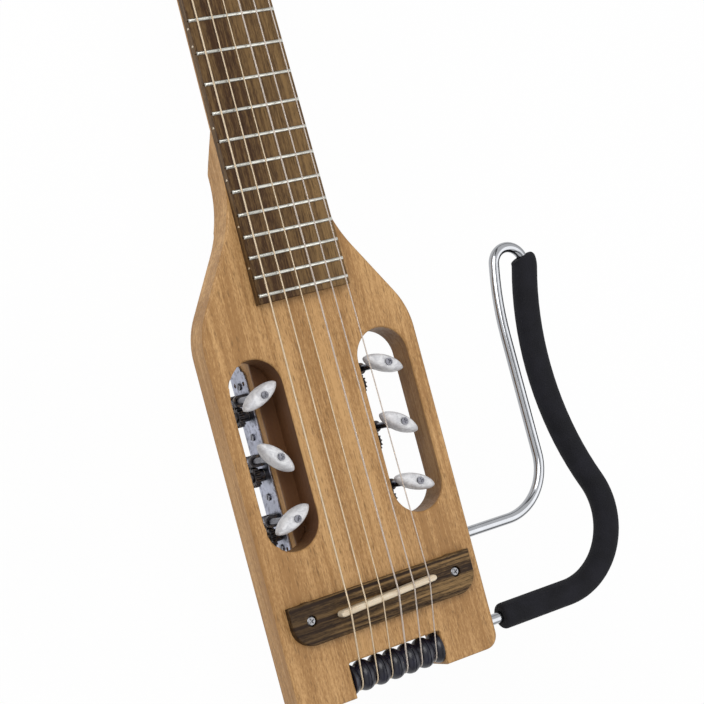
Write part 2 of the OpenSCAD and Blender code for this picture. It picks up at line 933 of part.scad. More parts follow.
// The worm as one closed skin of rings, with plain ends
module worm() {
    n = 16;
    rows = 26;
    ring = [for (k = [0:rows])
        let (z = -worm_len / 2 + worm_len * k / rows)
        [for (j = [0:n - 1])
            let (a = 360 * j / n,
                 r = k == 0 || k == rows ? worm_root_r : thread_r(thread_d(a, z)))
            [r * cos(a), r * sin(a), z]]];
    skin(ring, ends = [[0, 0, -worm_len / 2], [0, 0, worm_len / 2]]);
}

module worm_shaft(i) {
    ear_out = worm_len / 2 + side_gap + ear_t;
    base = button_top - button_h;
    color("#c3c9d3")
        translate([side(i) * button_x, key_y(i), 0]) {
            translate([0, 0, post_z])
                worm();
            translate([0, 0, post_z - ear_out - 0.8])
                cylinder(h = ear_out + 0.8 + 1, r = shaft_r);
            translate([0, 0, post_z])
                cylinder(h = base - 3 - post_z, r = shaft_r);
            translate([0, 0, base - 3])
                cylinder(h = 3, r = 2.7);
            translate([0, 0, base - over])
                cylinder(h = button_h + over, r = 1.5);
            difference() {
                translate([0, 0, button_top])
                    cylinder(h = 0.9, r = 2.1);
                translate([0, 0, button_top + 0.9])
                    rotate(button_turn[i - 1] + 40)
                        cross_cut(2.6, 0.6);
            }
        }
}

// A button: an oval seen from its side, and a slim lens seen along its shaft
button_end = 3.6;
button_tip = 1.3;
module button_oval() {
    w = button_w / 2;
    h = button_h / 2;
    d = h - button_end;
    r = (w * w + d * d) / (2 * d);
    intersection() {
        circle(w);
        intersection_for (s = [-1, 1])
            translate([0, s * (h - r)])
                circle(r, $fn = 256);
    }
}

module button_lens() {
    w = button_w / 2;
    d = button_t / 2 - button_tip;
    r = (w * w + d * d) / (2 * d);
    intersection_for (s = [-1, 1])
        translate([0, s * (r - button_t / 2)])
            circle(r, $fn = 256);
}

module button(i) {
    color("#ece9e2")
        translate([side(i) * button_x, key_y(i), button_top - button_h / 2])
            rotate(button_turn[i - 1])
                difference() {
                    intersection() {
                        rotate([90, 0, 0])
                            linear_extrude(button_t + over, center = true)
                                button_oval();
                        linear_extrude(button_h - 0.6, center = true)
                            button_lens();
                    }
                    cylinder(h = 2 * button_h, r = 1.5, center = true);
                }
}

// A post: a roller for the string between its journal in the web and its spindle in the plate
post_in = web_w / 2 + 0.3;
module post(i) {
    s = side(i);
    hole_x = winding_x(i, wound_turns) + winding_way(i) * 1.4;
    color("#e4dfd3")
        difference() {
            union() {
                bar_x(s * 0.9, s * post_in, post_y(i), post_z, spindle_r);
                bar_x(s * post_in, s * (block_w / 2 - 0.2), post_y(i), post_z, post_r);
                bar_x(s * (block_w / 2 - 0.2), s * (plate_x + 0.3), post_y(i), post_z, spindle_r);
                bar_x(s * plate_x, s * (button_x + wheel_w / 2), post_y(i), post_z, 2.2);
            }
            translate([hole_x, post_y(i), post_z])
                cylinder(h = 4 * post_r, r = 0.9, center = true);
        }
}

// The worm wheel on the end of a post, with its hub and its screw
module gear(i) {
    s = side(i);
    step = 360 / teeth;
    tip_a = 3.2;
    root_a = 7.6;
    color("#3a3431")
        difference() {
            union() {
                translate([s * button_x, post_y(i), post_z])
                    rotate([0, 90, 0])
                        rotate([0, 0, 90])
                            linear_extrude(wheel_w, center = true)
                                polygon([for (k = [0:teeth - 1]) for (p = [
                                    [wheel_root_r, -root_a], [wheel_tip_r, -tip_a],
                                    [wheel_tip_r, tip_a], [wheel_root_r, root_a]])
                                    p[0] * [cos((k + 0.5) * step + p[1]),
                                        sin((k + 0.5) * step + p[1])]]);
                bar_x(s * (plate_x + 0.3), s * button_x, post_y(i), post_z, 3.7);
            }
            bar_x(s * plate_x, s * (button_x + wheel_w / 2 + over), post_y(i), post_z, 2.2);
        }
    color("#b9bcc2")
        difference() {
            bar_x(s * (button_x + wheel_w / 2), s * (button_x + wheel_w / 2 + 1.2), post_y(i), post_z,
                3);
            translate([s * (button_x + wheel_w / 2 + 1.2), post_y(i), post_z])
                cube([1, 7, 0.8], center = true);
        }
}

// Strings

// Loops lie side by side on the post: outer strings wind inwards, the inner pair outwards
function winding_way(i) = rank(i) == 2 ? side(i) : -side(i);
function winding_pitch(i) = 2 * string_r[i - 1] + 0.5;
function winding_x(i, turns) = roller_x(i) + winding_way(i) * winding_pitch(i) * turns;
function winding_r(i) = post_r + rub_gap + string_r[i - 1];
function on_roller_r(i) = groove_r + rub_gap + string_r[i - 1];
function saddle_x(i) = (3.5 - i) / 5 * spread_saddle;
function saddle_y(i) = -saddle_back + saddle_x(i) * tan(saddle_slant);
function saddle_string_z(i) = saddle_z + 0.05 + string_r[i - 1];

// Angle at which a string from the saddle meets its roller, and at which it leaves for the post
function meet_a(i) =
    let (d = [saddle_y(i) - roller_y, saddle_string_z(i) - roller_z])
    atan2(d.y, d.x) + acos(on_roller_r(i) / norm(d));
function leave_a(i) =
    let (d = [post_y(i) - roller_y, post_z - roller_z])
    atan2(d.y, d.x) + asin((on_roller_r(i) + winding_r(i)) / norm(d)) + 270;
function round_roller(i, a) =
    [roller_x(i), roller_y + on_roller_r(i) * cos(a), roller_z + on_roller_r(i) * sin(a)];
function round_post(i, t) =
    let (a = leave_a(i) - 180 - 360 * t)
    [winding_x(i, t), post_y(i) + winding_r(i) * cos(a), post_z + winding_r(i) * sin(a)];

loop_rings = 24;
function string_start(i) = [
    [nut_x(i), anchor_y + anchor_t - ball_seat, anchor_z],
    [nut_x(i), anchor_y - 0.5, anchor_z],
    [nut_x(i), scale_len + nut_t, nut_string_z(i)],
    [nut_x(i), scale_len, nut_string_z(i)],
    [saddle_x(i), saddle_y(i), saddle_string_z(i)]];
function string_winding(i) =
    [for (k = [0:loop_rings * wound_turns]) round_post(i, k / loop_rings)];
function string_path(i) =
    let (w = string_winding(i),
         last = w[len(w) - 1],
         way = last - w[len(w) - 2])
    concat(string_start(i),
        [for (k = [0:10]) round_roller(i, meet_a(i) + (leave_a(i) - meet_a(i)) * k / 10)],
        w,
        [last + way / norm(way) * 2 * string_r[i - 1]]);

// A tube of six sides along a path that never runs along X
function unit(v) = v / norm(v);
function tube_ring(path, k, r) =
    let (n = len(path),
         t = unit(unit(path[min(k + 1, n - 1)] - path[max(k, 0) == n - 1 ? n - 2 : k])
            + unit(path[max(k, 1)] - path[max(k, 1) - 1])),
         u = unit([1, 0, 0] - t * t.x),
         v = cross(t, u))
    [for (j = [0:5]) path[k] + r * (cos(60 * j) * u + sin(60 * j) * v)];
module tube(path, r) {
    n = len(path);
    skin([for (k = [0:n - 1]) tube_ring(path, k, r)], ends = [path[0], path[n - 1]]);
}

module string(i) {
    color("#e8ddc4")
        tube(string_path(i), string_r[i - 1]);
}

// Least gap of a winding to itself: points at least half a turn apart, less one string
function least_gap(i) =
    let (w = string_winding(i), n = len(w))
    min([for (a = [0:n - 1]) for (b = [a + loop_rings / 2:1:n - 1]) norm(w[a] - w[b])])
        - 2 * string_r[i - 1];
echo(least_gap_of_windings = [for (i = [1:6]) least_gap(i)]);

// Lap rest

// The rod is drawn as a row of moves in its own plane: [length] runs straight, [radius, angle]
// turns, to the left with a positive angle. A state is [x, y, heading].
function step_to(s, m) =
    len(m) == 1 ? [s.x + m[0] * cos(s.z), s.y + m[0] * sin(s.z), s.z] :
    let (w = m[1] > 0 ? 1 : -1,
         c = [s.x - w * m[0] * sin(s.z), s.y + w * m[0] * cos(s.z)],
         h = s.z + m[1])
    [c.x + w * m[0] * sin(h), c.y - w * m[0] * cos(h), h];
function state(moves, k) =
    k == 0 ? [body_w / 2 - prong_in, prong_up_y, 0] : step_to(state(moves, k - 1), moves[k - 1]);

bend_r = 32;
hairpin_r = 11;
inner_turn = 12.3;
foam_lean = 18;
foam_r = 190;
foam_out = 24;
first_moves = [[prong_in + prong_out], [bend_r, 90], [73], [178, -inner_turn], [5],
    [hairpin_r, -150]];
foam_first = [[hairpin_r, -(30 - inner_turn + foam_lean)], [foam_r, foam_lean + foam_out]];
bulge_state = state(concat(first_moves, foam_first), len(first_moves) + 2);
bulge_r = (bulge_state.y + prong_low_y) / (1 + cos(bulge_state.z));
bulge_end_x = bulge_state.x + bulge_r * sin(bulge_state.z);
foam_end_x = body_w / 2 + 11;
moves = concat(first_moves, foam_first, [[bulge_r, -(90 + foam_out)]],
    [[bulge_end_x - foam_end_x], [foam_end_x - body_w / 2 + prong_in]]);

// Places on the rod where its skin has a ring: parts of each move, finer at the foam's ends
function parts(n) = [for (j = [0:n - 1]) j / n];
places = [[], parts(8), [0], parts(3), [0], parts(12), [0, 0.14, 0.4, 0.7], parts(5),
    parts(8), [0, 0.92, 0.972]];
function at(k, f) =
    let (m = moves[k])
    step_to(state(moves, k), len(m) == 1 ? [m[0] * f] : [m[0], m[1] * f]);
last_move = len(moves) - 1;
foam_move = len(first_moves);
bare_end = 6;
foam_states = concat([for (k = [foam_move:last_move - 1]) for (f = places[k]) at(k, f)],
    [at(last_move, 0)]);
rod_states = concat([at(0, 1 - 0.5 / moves[0][0])],
    [for (k = [1:foam_move - 1]) for (f = places[k]) at(k, f)],
    foam_states,
    [at(last_move, bare_end / moves[last_move][0])]);

// Ring of n points about the rod at a state
function rod_ring(s, r, n) =
    [for (j = [0:n - 1])
        let (a = 360 * (j + 0.5) / n)
        [s.x - r * cos(a) * sin(s.z), s.y + r * cos(a) * cos(s.z), rod_z + r * sin(a)]];

// The prongs are true rods, and a skin of many sides carries the rod round its bends
rod_sides = 12;
module lap_rest_rod() {
    n = len(rod_states);
    ends = [for (k = [0, n - 1]) [rod_states[k].x, rod_states[k].y, rod_z]];
    color("#c9ccd1") {
        bar_x(body_w / 2 - prong_in, body_w / 2 + prong_out, prong_up_y, rod_z, rod_r);
        bar_x(body_w / 2 - prong_in, foam_end_x - bare_end + 0.5, -prong_low_y, rod_z, rod_r);
        skin([for (s = rod_states) rod_ring(s, rod_r * 0.995, rod_sides)], ends = ends);
    }
}

// The sleeve is a little wider than the rod inside, and round at its ends
module lap_rest_foam() {
    n = len(foam_states);
    r = foam_d / 2;
    outer = [for (k = [0:n - 1])
        let (e = min(k, n - 1 - k))
        rod_ring(foam_states[k], e == 0 ? r * 0.7 : e == 1 ? r * 0.92 : r, rod_sides)];
    inner = [for (k = [n - 1:-1:0])
        rod_ring(foam_states[k], (rod_r + 0.05) / cos(180 / rod_sides), rod_sides)];
    color("#1c1c1e")
        skin(concat(outer, inner), looped = true);
}

body();
neck();
tuner_block();
fretboard();
frets();
nut();
side_dots();
truss_rod();
string_anchor();
anchor_screws();
string_balls();
bridge();
saddle();
bridge_screws();
pickup();
output_jack();
strap_button();
roller_axle();
tuner_plate(-1);  // tuner_plate_bass
tuner_plate(1);  // tuner_plate_treble
worm_brackets();
plate_screws();
lap_rest_rod();
lap_rest_foam();
for (i = [1:6]) {
    button(i);
    worm_shaft(i);
    post(i);
    gear(i);
    string(i);
    roller(i);
}
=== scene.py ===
"""Looks of a headless travel guitar with a lift-off lap rest.

+X is the treble side, +Y the head, +Z out of the face. The frame, the meshes and the shaders
are in metres. Paths and profiles are worked out in millimetres and scaled at the end.
"""

import bmesh
import bpy
import numpy as np
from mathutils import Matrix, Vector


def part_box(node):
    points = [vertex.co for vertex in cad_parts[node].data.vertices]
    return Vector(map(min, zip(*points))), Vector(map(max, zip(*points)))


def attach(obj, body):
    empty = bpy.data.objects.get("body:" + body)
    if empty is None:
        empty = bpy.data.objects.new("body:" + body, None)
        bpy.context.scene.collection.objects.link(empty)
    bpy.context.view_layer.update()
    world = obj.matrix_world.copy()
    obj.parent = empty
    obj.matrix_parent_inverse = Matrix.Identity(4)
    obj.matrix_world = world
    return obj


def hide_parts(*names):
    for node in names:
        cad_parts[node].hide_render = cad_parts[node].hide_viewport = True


bl_info = {
    "name": "Travel Guitar",
    "version": (1, 0, 0),
    "blender": (4, 5, 0),
    "location": "3D View > Sidebar > Guitar",
    "description": "Builds the finished surfaces of a headless travel guitar round its frame",
    "category": "Add Mesh",
}

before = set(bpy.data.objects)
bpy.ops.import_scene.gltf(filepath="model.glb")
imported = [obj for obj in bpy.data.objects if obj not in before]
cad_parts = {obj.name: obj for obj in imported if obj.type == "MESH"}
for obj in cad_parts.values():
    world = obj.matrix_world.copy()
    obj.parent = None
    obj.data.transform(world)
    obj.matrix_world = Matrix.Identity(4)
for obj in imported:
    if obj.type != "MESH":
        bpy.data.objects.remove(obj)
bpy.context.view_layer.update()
MM = 0.001

# Heights and places that the strings and the lap rest follow, in millimetres
SCALE_LEN = 628.65
FACE_Z = 44.45
CROWN_Z = 51.45
SADDLE_Z = 54.65
SADDLE_BACK = 2.1
SADDLE_SLANT = np.radians(2.5)
NUT_SPREAD = 41.0
SADDLE_SPREAD = 53.4
ROLLER_PITCH = 10.0
ROLLER_Y = -41.5
ROLLER_Z = 37.25
GROOVE_R = 6.3
POST_R = 5.0
POST_Z = 10.2
POST_Y = (44.9, 79.9, 114.9)
RUB_GAP = 0.2
STRING_R = (0.36, 0.41, 0.5, 0.38, 0.45, 0.54)
NUT_ACTION = 0.5
SADDLE_ACTION = 0.05
ANCHOR_Y = SCALE_LEN + 18.3
BALL_Z = FACE_Z + 3.3
TURNS = 3.5
TURN_GAP = 0.5
BODY_HALF = 66.7
ROD_Z = 35.45

# The lap rest's rod from the end of its head-side prong: straight runs as (length, 0) and
# bends as (radius, degrees), as far as the round bulge, whose radius takes the rod to the
# line of the tail-side prong
PRONG_IN = 22
ROD_START = (BODY_HALF - PRONG_IN, 15.2)
ROD_RUNS = (
    (55.8, 0),
    (32, 90),
    (73, 0),
    (178, -12.3),
    (5, 0),
    (11, -150),
    (11, -35.7),
    (190, 42),
)
BULGE_TURN = -114.0
TAIL_PRONG_Y = -38
FOAM_TO_BODY = 11
# The foam covers the rod from the end of the sixth run to where the tail-side prong begins
FOAM_RUNS = (6, 10)
BUTTON_TURN = (-24, -36, -27, 27, -49, 27)

# The frets' crowns and where they stand on the board, in millimetres
FRETS = 22
BOARD_TOP_Z = 50.3
FRET_HALF_WIDTH = 1.05
FRET_RISE = 1.15
FRET_INSET = 0.3
HALF_BOARD_AT_NUT = 23.8
HALF_BOARD_GROWTH = 5.4

# Length of one ridge of the wound strings, in metres
WINDING_PITCH = 0.00024

# How a frame node's mesh is merged, in metres and radians: corners nearer than the first gap
# and faces that meet flatter than the flat angle become one, and edges sharper than the edge
# angle may be rounded. Long faces are cut across every slice
MERGE_GAP = 2e-6
SEAM_GAP = 2e-5
FLAT_ANGLE = np.radians(0.4)
EDGE_ANGLE = np.radians(40)
SLICE = 0.017
SADDLE_SLICE = 0.004

# Painted shade: the brown laid on the walls deep inside the slots
SLOT_SHADE_BROWN = (0.075, 0.027, 0.009)

# The camera of the photograph, in metres and degrees
CAMERA_PLACE = (-0.472949, 0.128749, 0.919838)
CAMERA_TURN = (8.586683, -28.319320, -17.047656)
CAMERA_LENS = 90.851
SENSOR_WIDTH = 36
FLOOR_HALF = 3.0
FLOOR_Z = -0.2


# Shapes


def unit(v):
    """Each vector divided by its length."""
    return v / np.linalg.norm(v, axis=-1, keepdims=True)


def grid_faces(rows, cols, loop_rows=False, loop_cols=False):
    """Corners of the quads between neighbours on a grid of points, row by row."""
    a, b = np.meshgrid(
        np.arange(rows if loop_rows else rows - 1),
        np.arange(cols if loop_cols else cols - 1),
        indexing="ij",
    )
    c, d = (a + 1) % rows, (b + 1) % cols
    quads = np.stack([a * cols + b, a * cols + d, c * cols + d, c * cols + b], -1)
    spots = np.stack([a, b, a, b + 1, a + 1, b + 1, a + 1, b], -1)
    return quads.reshape(-1, 4), spots.reshape(-1, 4, 2)


def add_object(name, verts, faces, uvs=None):
    """A smooth mesh object at the origin, from points in metres and lists of corners."""
    mesh = bpy.data.meshes.new(name)
    mesh.from_pydata(np.asarray(verts).tolist(), [], faces)
    mesh.shade_smooth()
    if uvs is not None:
        layer = mesh.uv_layers.new(name="UVMap")
        layer.data.foreach_set("uv", np.asarray(uvs, np.float32).ravel())
    obj = bpy.data.objects.new(name, mesh)
    bpy.context.scene.collection.objects.link(obj)
    return obj


def add_rings(name, rings, looped=False):
    """A skin over rings of points. It loops back to its first ring or has a fan at each end.
    Its UV runs once round each ring and counts the length along it, in metres."""
    rows, cols = rings.shape[:2]
    quads, spots = grid_faces(rows, cols, looped, True)
    steps = np.linalg.norm(np.diff(rings.mean(1), axis=0), axis=-1)
    lengths = np.concatenate([[0], np.cumsum(steps)])
    lengths = np.append(lengths, lengths[-1])
    uvs = np.stack([spots[..., 1] / cols, lengths[spots[..., 0]]], -1).reshape(-1, 2)
    verts = rings.reshape(-1, 3)
    faces = quads.tolist()
    if not looped:
        j = np.arange(cols)
        k = (j + 1) % cols
        first, last, end_ring = rows * cols, rows * cols + 1, (rows - 1) * cols
        start = np.stack([np.full(cols, first), k, j], -1)
        end = np.stack([np.full(cols, last), end_ring + j, end_ring + k], -1)
        faces += start.tolist() + end.tolist()
        verts = np.concatenate([verts, rings[[0, -1]].mean(1)])
        caps = np.concatenate([np.zeros((3 * cols, 2)), np.tile([0, lengths[-1]], (3 * cols, 1))])
        uvs = np.concatenate([uvs, caps])
    return add_object(name, verts, faces, uvs)


def tube_rings(path, radius, sides, up):
    """Circles across a path: at each point a ring of sides points in the plane square to it,
    turned so that 'up' stays at the ring's first point."""
    along = unit(np.gradient(path, axis=0))
    u = unit(up - along * (along @ up)[:, None])
    v = np.cross(along, u)
    a = np.linspace(0, 2 * np.pi, sides, endpoint=False)
    ring = np.cos(a)[None, :, None] * u[:, None] + np.sin(a)[None, :, None] * v[:, None]
    return path[:, None] + ring * np.broadcast_to(radius, len(path))[:, None, None]


def revolve(name, profile, centre, sides):
    """A closed profile of (radius, distance along X) points turned about an axis along X."""
    a = np.linspace(0, 2 * np.pi, sides, endpoint=False)
    r, x = np.asarray(profile, float).T
    rings = np.stack(
        [
            np.broadcast_to(x[:, None], (len(x), sides)),
            r[:, None] * np.cos(a),
            r[:, None] * np.sin(a),
        ],
        -1,
    )
    return add_rings(name, (rings + centre) * MM, looped=True)


def edge_facts(mesh):
    """For each edge between two faces: its number, the angle across it, whether it stands
    out, and its middle."""
    count = len(mesh.loops)
    loop_edge = np.empty(count, np.int32)
    mesh.loops.foreach_get("edge_index", loop_edge)
    totals = np.empty(len(mesh.polygons), np.int32)
    mesh.polygons.foreach_get("loop_total", totals)
    normals = np.empty(len(totals) * 3, np.float32)
    mesh.polygons.foreach_get("normal", normals)
    centres = np.empty(len(totals) * 3, np.float32)
    mesh.polygons.foreach_get("center", centres)
    normals, centres = normals.reshape(-1, 3), centres.reshape(-1, 3)
    face = np.repeat(np.arange(len(totals)), totals)
    order = np.argsort(loop_edge, kind="stable")
    edges, starts, uses = np.unique(loop_edge[order], return_index=True, return_counts=True)
    two = uses == 2
    edges, starts = edges[two], starts[two]
    f, g = face[order[starts]], face[order[starts + 1]]
    angle = np.arccos(np.clip((normals[f] * normals[g]).sum(-1), -1, 1))
    ends = np.empty(len(mesh.edges) * 2, np.int32)
    mesh.edges.foreach_get("vertices", ends)
    co = np.empty(len(mesh.vertices) * 3, np.float32)
    mesh.vertices.foreach_get("co", co)
    middle = co.reshape(-1, 3)[ends.reshape(-1, 2)].mean(1)[edges]
    # An edge stands out where the second face falls away from the first one's plane
    a_corner = co.reshape(-1, 3)[ends.reshape(-1, 2)[:, 0]][edges]
    out = ((centres[g] - a_corner) * normals[f]).sum(-1) < 0
    return edges, angle, out, middle


def refined(node, edge=0.0, where=None, segments=2, sharp=32, onto=None, slices=0.0):
    """A copy of a frame node with merged corners, smooth shading up to the sharp angle, and
    edges that stand out rounded by 'edge' metres. 'where' picks edges by their middles.
    'onto' names a node that goes on flush from this one's far end and is made one with it.
    'slices' cuts long faces across every so many metres, so that rounding can't fold them."""
    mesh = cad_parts[node].data.copy()
    mesh.name = node + "_finish"
    work = bmesh.new()
    work.from_mesh(mesh)
    seam = max(v.co.y for v in work.verts)
    if onto:
        work.from_mesh(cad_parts[onto].data)
    bmesh.ops.remove_doubles(work, verts=work.verts, dist=MERGE_GAP)
    if onto:
        inner = [f for f in work.faces if all(abs(v.co.y - seam) < SEAM_GAP for v in f.verts)]
        bmesh.ops.delete(work, geom=inner, context="FACES")
    bmesh.ops.dissolve_limit(work, angle_limit=FLAT_ANGLE, verts=work.verts, edges=work.edges)
    if slices:
        co = np.array([v.co for v in work.verts])
        low, high = co.min(0), co.max(0)
        axis = int(np.argmax(high - low))
        for place in np.arange(low[axis] + 0.37 * slices, high[axis], slices):
            bmesh.ops.bisect_plane(
                work,
                geom=work.verts[:] + work.edges[:] + work.faces[:],
                dist=SEAM_GAP,
                plane_co=np.eye(3)[axis] * place,
                plane_no=np.eye(3)[axis],
            )
    work.to_mesh(mesh)
    work.free()
    mesh.materials.clear()
    mesh.shade_smooth()
    mesh.set_sharp_from_angle(angle=np.radians(sharp))
    obj = bpy.data.objects.new(node + "_finish", mesh)
    bpy.context.scene.collection.objects.link(obj)
    if edge:
        edges, angle, out, middle = edge_facts(mesh)
        pick = (angle > EDGE_ANGLE) & out
        if where is not None:
            pick &= where(middle / MM)
        weight = np.zeros(len(mesh.edges), np.float32)
        weight[edges[pick]] = 1
        layer = mesh.attributes.new("bevel_weight_edge", "FLOAT", "EDGE")
        layer.data.foreach_set("value", weight)
        bevel = obj.modifiers.new("Rounded edges", "BEVEL")
        bevel.limit_method = "WEIGHT"
        bevel.width = edge
        bevel.segments = segments
        bevel.use_clamp_overlap = False
        bevel.loop_slide = False
        bevel.harden_normals = True
    # Large flat faces keep their normal next to the small faces of a round edge
    flat = obj.modifiers.new("Flat faces", "WEIGHTED_NORMAL")
    flat.keep_sharp = True
    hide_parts(*[n for n in (node, onto) if n])
    return obj


def settle(obj, body, material, slot, replaces=()):
    """Gives a finished piece its material, its body and the frame nodes that it stands for."""
    obj.data.materials.clear()
    obj.data.materials.append(material)
    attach(obj, body)
    if replaces:
        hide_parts(*replaces)
    return obj


# Shader maths


class Value:
    """A shader socket that works in Python sums. Each sum adds one Math node."""

    def __init__(self, recipe, socket):
        self.recipe = recipe
        self.socket = socket

    def _sum(self, operation, a, b):
        return self.recipe.node("Math", {"operation": operation}, {0: a, 1: b})

    def __add__(self, other):
        return self._sum("ADD", self, other)

    def __radd__(self, other):
        return self._sum("ADD", other, self)

    def __sub__(self, other):
        return self._sum("SUBTRACT", self, other)

    def __rsub__(self, other):
        return self._sum("SUBTRACT", other, self)

    def __mul__(self, other):
        return self._sum("MULTIPLY", self, other)

    def __rmul__(self, other):
        return self._sum("MULTIPLY", other, self)

    def __abs__(self):
        return self.recipe.node("Math", {"operation": "ABSOLUTE"}, {0: self})

    def sin(self):
        return self.recipe.node("Math", {"operation": "SINE"}, {0: self})


class Recipe:
    """A node tree that is filled by calls. It works for a material and for the world."""

    def __init__(self, owner):
        self.owner = owner
        owner.use_nodes = True
        self.tree = owner.node_tree
        self.tree.nodes.clear()

    def node(self, kind, settings=None, inputs=None, output=0):
        """Adds a node of that kind with its settings, then its input values or links."""
        made = self.tree.nodes.new("ShaderNode" + kind)
        for key, value in (settings or {}).items():
            setattr(made, key, value)
        for key, value in (inputs or {}).items():
            if isinstance(value, Value):
                self.tree.links.new(value.socket, made.inputs[key])
            else:
                made.inputs[key].default_value = value
        return Value(self, made.outputs[output]) if len(made.outputs) else None

    def place(self):
        """The point in the guitar's frame, in metres."""
        return self.node("TexCoord", output="Object")

    def uv(self):
        """The point on the piece's own UV map: round it and along it."""
        return self.node("TexCoord", output="UV")

    def scaled(self, vector, by):
        """A vector with each part times its own number."""
        return self.node("VectorMath", {"operation": "MULTIPLY"}, {0: vector, 1: by})

    def part(self, vector, axis):
        """One part of a vector, 0 for x."""
        return self.node("SeparateXYZ", None, {0: vector}, output=axis)

    def noise(self, vector, scale=1.0, detail=2.0, roughness=0.5, distortion=0.0):
        """Soft noise about one half, with that many features to a metre."""
        return self.node(
            "TexNoise",
            None,
            {
                "Vector": vector,
                "Scale": scale,
                "Detail": detail,
                "Roughness": roughness,
                "Distortion": distortion,
            },
        )

    def step(self, value, low, high, to_low=0.0, to_high=1.0):
        """Maps low to to_low and high to to_high with a smooth curve between."""
        return self.node(
            "MapRange",
            {"interpolation_type": "SMOOTHSTEP"},
            {0: value, 1: low, 2: high, 3: to_low, 4: to_high},
        )

    def mix(self, factor, a, b):
        """Mixes two colours."""
        four = [(*c, 1) if isinstance(c, tuple) else c for c in (a, b)]
        return self.node(
            "Mix", {"data_type": "RGBA"}, {0: factor, 6: four[0], 7: four[1]}, output=2
        )

    def bump(self, height, distance, strength):
        """A normal tilted by a height, which is worth 'distance' metres from 0 to 1."""
        return self.node(
            "Bump", None, {"Height": height, "Distance": distance, "Strength": strength}
        )

    def surface(self, **inputs):
        """The one Principled shader, with its sockets by name, joined to the output."""
        named = {key.replace("_", " "): value for key, value in inputs.items()}
        shader = self.node("BsdfPrincipled", None, named)
        self.node("OutputMaterial", None, {0: shader})
        return self.owner


def recipe(name):
    """An empty recipe for a new material."""
    return Recipe(bpy.data.materials.new(name))


def tuned(colour, by):
    """A plain colour made lighter or darker."""
    return tuple(min(1.0, c * by) for c in colour)


# Materials


def tan_wood(looks):
    """Open-pored tan wood: wide soft bands, fine fibres, short dark pores and a fine speckle."""
    r = recipe("tan_wood")
    p = r.place()
    light, dark = tuple(looks.wood_light), tuple(looks.wood_dark)
    bands = r.noise(r.scaled(p, (48, 3.2, 48)), detail=3, distortion=1.1)
    fibres = r.noise(r.scaled(p, (620, 17, 620)), detail=5, roughness=0.7)
    speckle = r.noise(r.scaled(p, (1500, 420, 1500)), detail=3, roughness=0.7)
    pores = r.step(r.noise(r.scaled(p, (1250, 170, 1250)), detail=2), 0.57, 0.72)
    tone = r.step(0.40 * bands + 0.30 * fibres + 0.30 * speckle, 0.41, 0.59)
    colour = r.mix(tone, dark, light)
    colour = r.mix(0.6 * pores, colour, tuned(dark, 0.5))
    # Painted shade: the walls deep inside the slots and the top of the tuner block in them are
    # painted browner,
    # deepest on the side of the tuners: a box in x, y and z with soft sides
    x, y, z = abs(r.part(p, 0)), r.part(p, 1), r.part(p, 2)
    slot_shade = r.step(x, 0.0585, 0.0592, 1, 0) * r.step(y, 0.034, 0.036)
    slot_shade = slot_shade * r.step(y, 0.145, 0.149, 1, 0) * r.step(z, 0.0245, 0.026)
    slot_shade = slot_shade * r.step(z, 0.0428, 0.0436, 1, 0) * r.step(x, 0.030, 0.045, 0.95, 0.42)
    # The painted shade of the slots goes over the wood's own colour here
    colour = r.mix(slot_shade, colour, SLOT_SHADE_BROWN)
    height = 0.3 * fibres + 0.3 * speckle - 0.9 * pores
    return r.surface(
        Base_Color=colour,
        Roughness=r.step(fibres, 0.3, 0.7, 0.56, 0.44),
        Specular_IOR_Level=0.25,
        Normal=r.bump(height, 0.00016, 0.5),
    )


def dark_wood(looks, along_x=False):
    """Dark wood with lighter streaks, along the board or across the body. The board is
    lighter on its treble side, the bridge darkest at its bass end."""
    r = recipe("dark_wood_across" if along_x else "dark_wood_along")
    p = r.place()
    turn = (lambda a, b, c: (b, a, c)) if along_x else (lambda a, b, c: (a, b, c))
    light, dark = tuple(looks.board_light), tuple(looks.board_dark)
    wide = r.noise(r.scaled(p, turn(150, 3.5, 150)), detail=3, distortion=1.4)
    streaks = r.noise(r.scaled(p, turn(640, 9, 640)), detail=5, roughness=0.68)
    speckle = r.noise(r.scaled(p, turn(1900, 300, 1900)), detail=2, roughness=0.6)
    pores = r.step(r.noise(r.scaled(p, turn(1900, 110, 1900)), detail=2), 0.55, 0.68)
    across = r.part(p, 0)
    if along_x:
        tone = r.step(0.55 * wide + 0.3 * streaks + 0.15 * speckle, 0.43, 0.60)
        tone = tone * r.step(across, -0.056, 0.0, 0.3, 1.0)
        light, dark = tuned(light, 1.22), tuned(dark, 0.42)
    else:
        tone = r.step(0.36 * wide + 0.38 * streaks + 0.26 * speckle, 0.41, 0.59)
        tone = tone * 0.66 + 0.34 * r.step(across, -0.014, 0.022)
    colour = r.mix(tone, dark, light)
    colour = r.mix(0.6 * pores, colour, tuned(dark, 0.45))
    return r.surface(
        Base_Color=colour,
        Roughness=r.step(streaks, 0.3, 0.7, 0.55, 0.42),
        Specular_IOR_Level=0.14,
        Normal=r.bump(0.3 * streaks - 0.8 * pores, 0.00015, 0.5),
    )


def bone(looks):
    """Cream bone with faint streaks and a soft polish."""
    r = recipe("cream_bone")
    p = r.place()
    streak = r.noise(r.scaled(p, (60, 900, 400)), detail=3)
    blotch = r.noise(p, 160, 3)
    colour = r.mix(r.step(streak, 0.35, 0.7), (0.53, 0.43, 0.30), (0.63, 0.54, 0.41))
    colour = r.mix(0.25 * r.step(blotch, 0.55, 0.75), colour, (0.42, 0.31, 0.19))
    return r.surface(
        Base_Color=colour,
        Roughness=r.step(blotch, 0.3, 0.7, 0.42, 0.3),
        Subsurface_Weight=0.08,
        Subsurface_Radius=(0.002, 0.0012, 0.0008),
    )


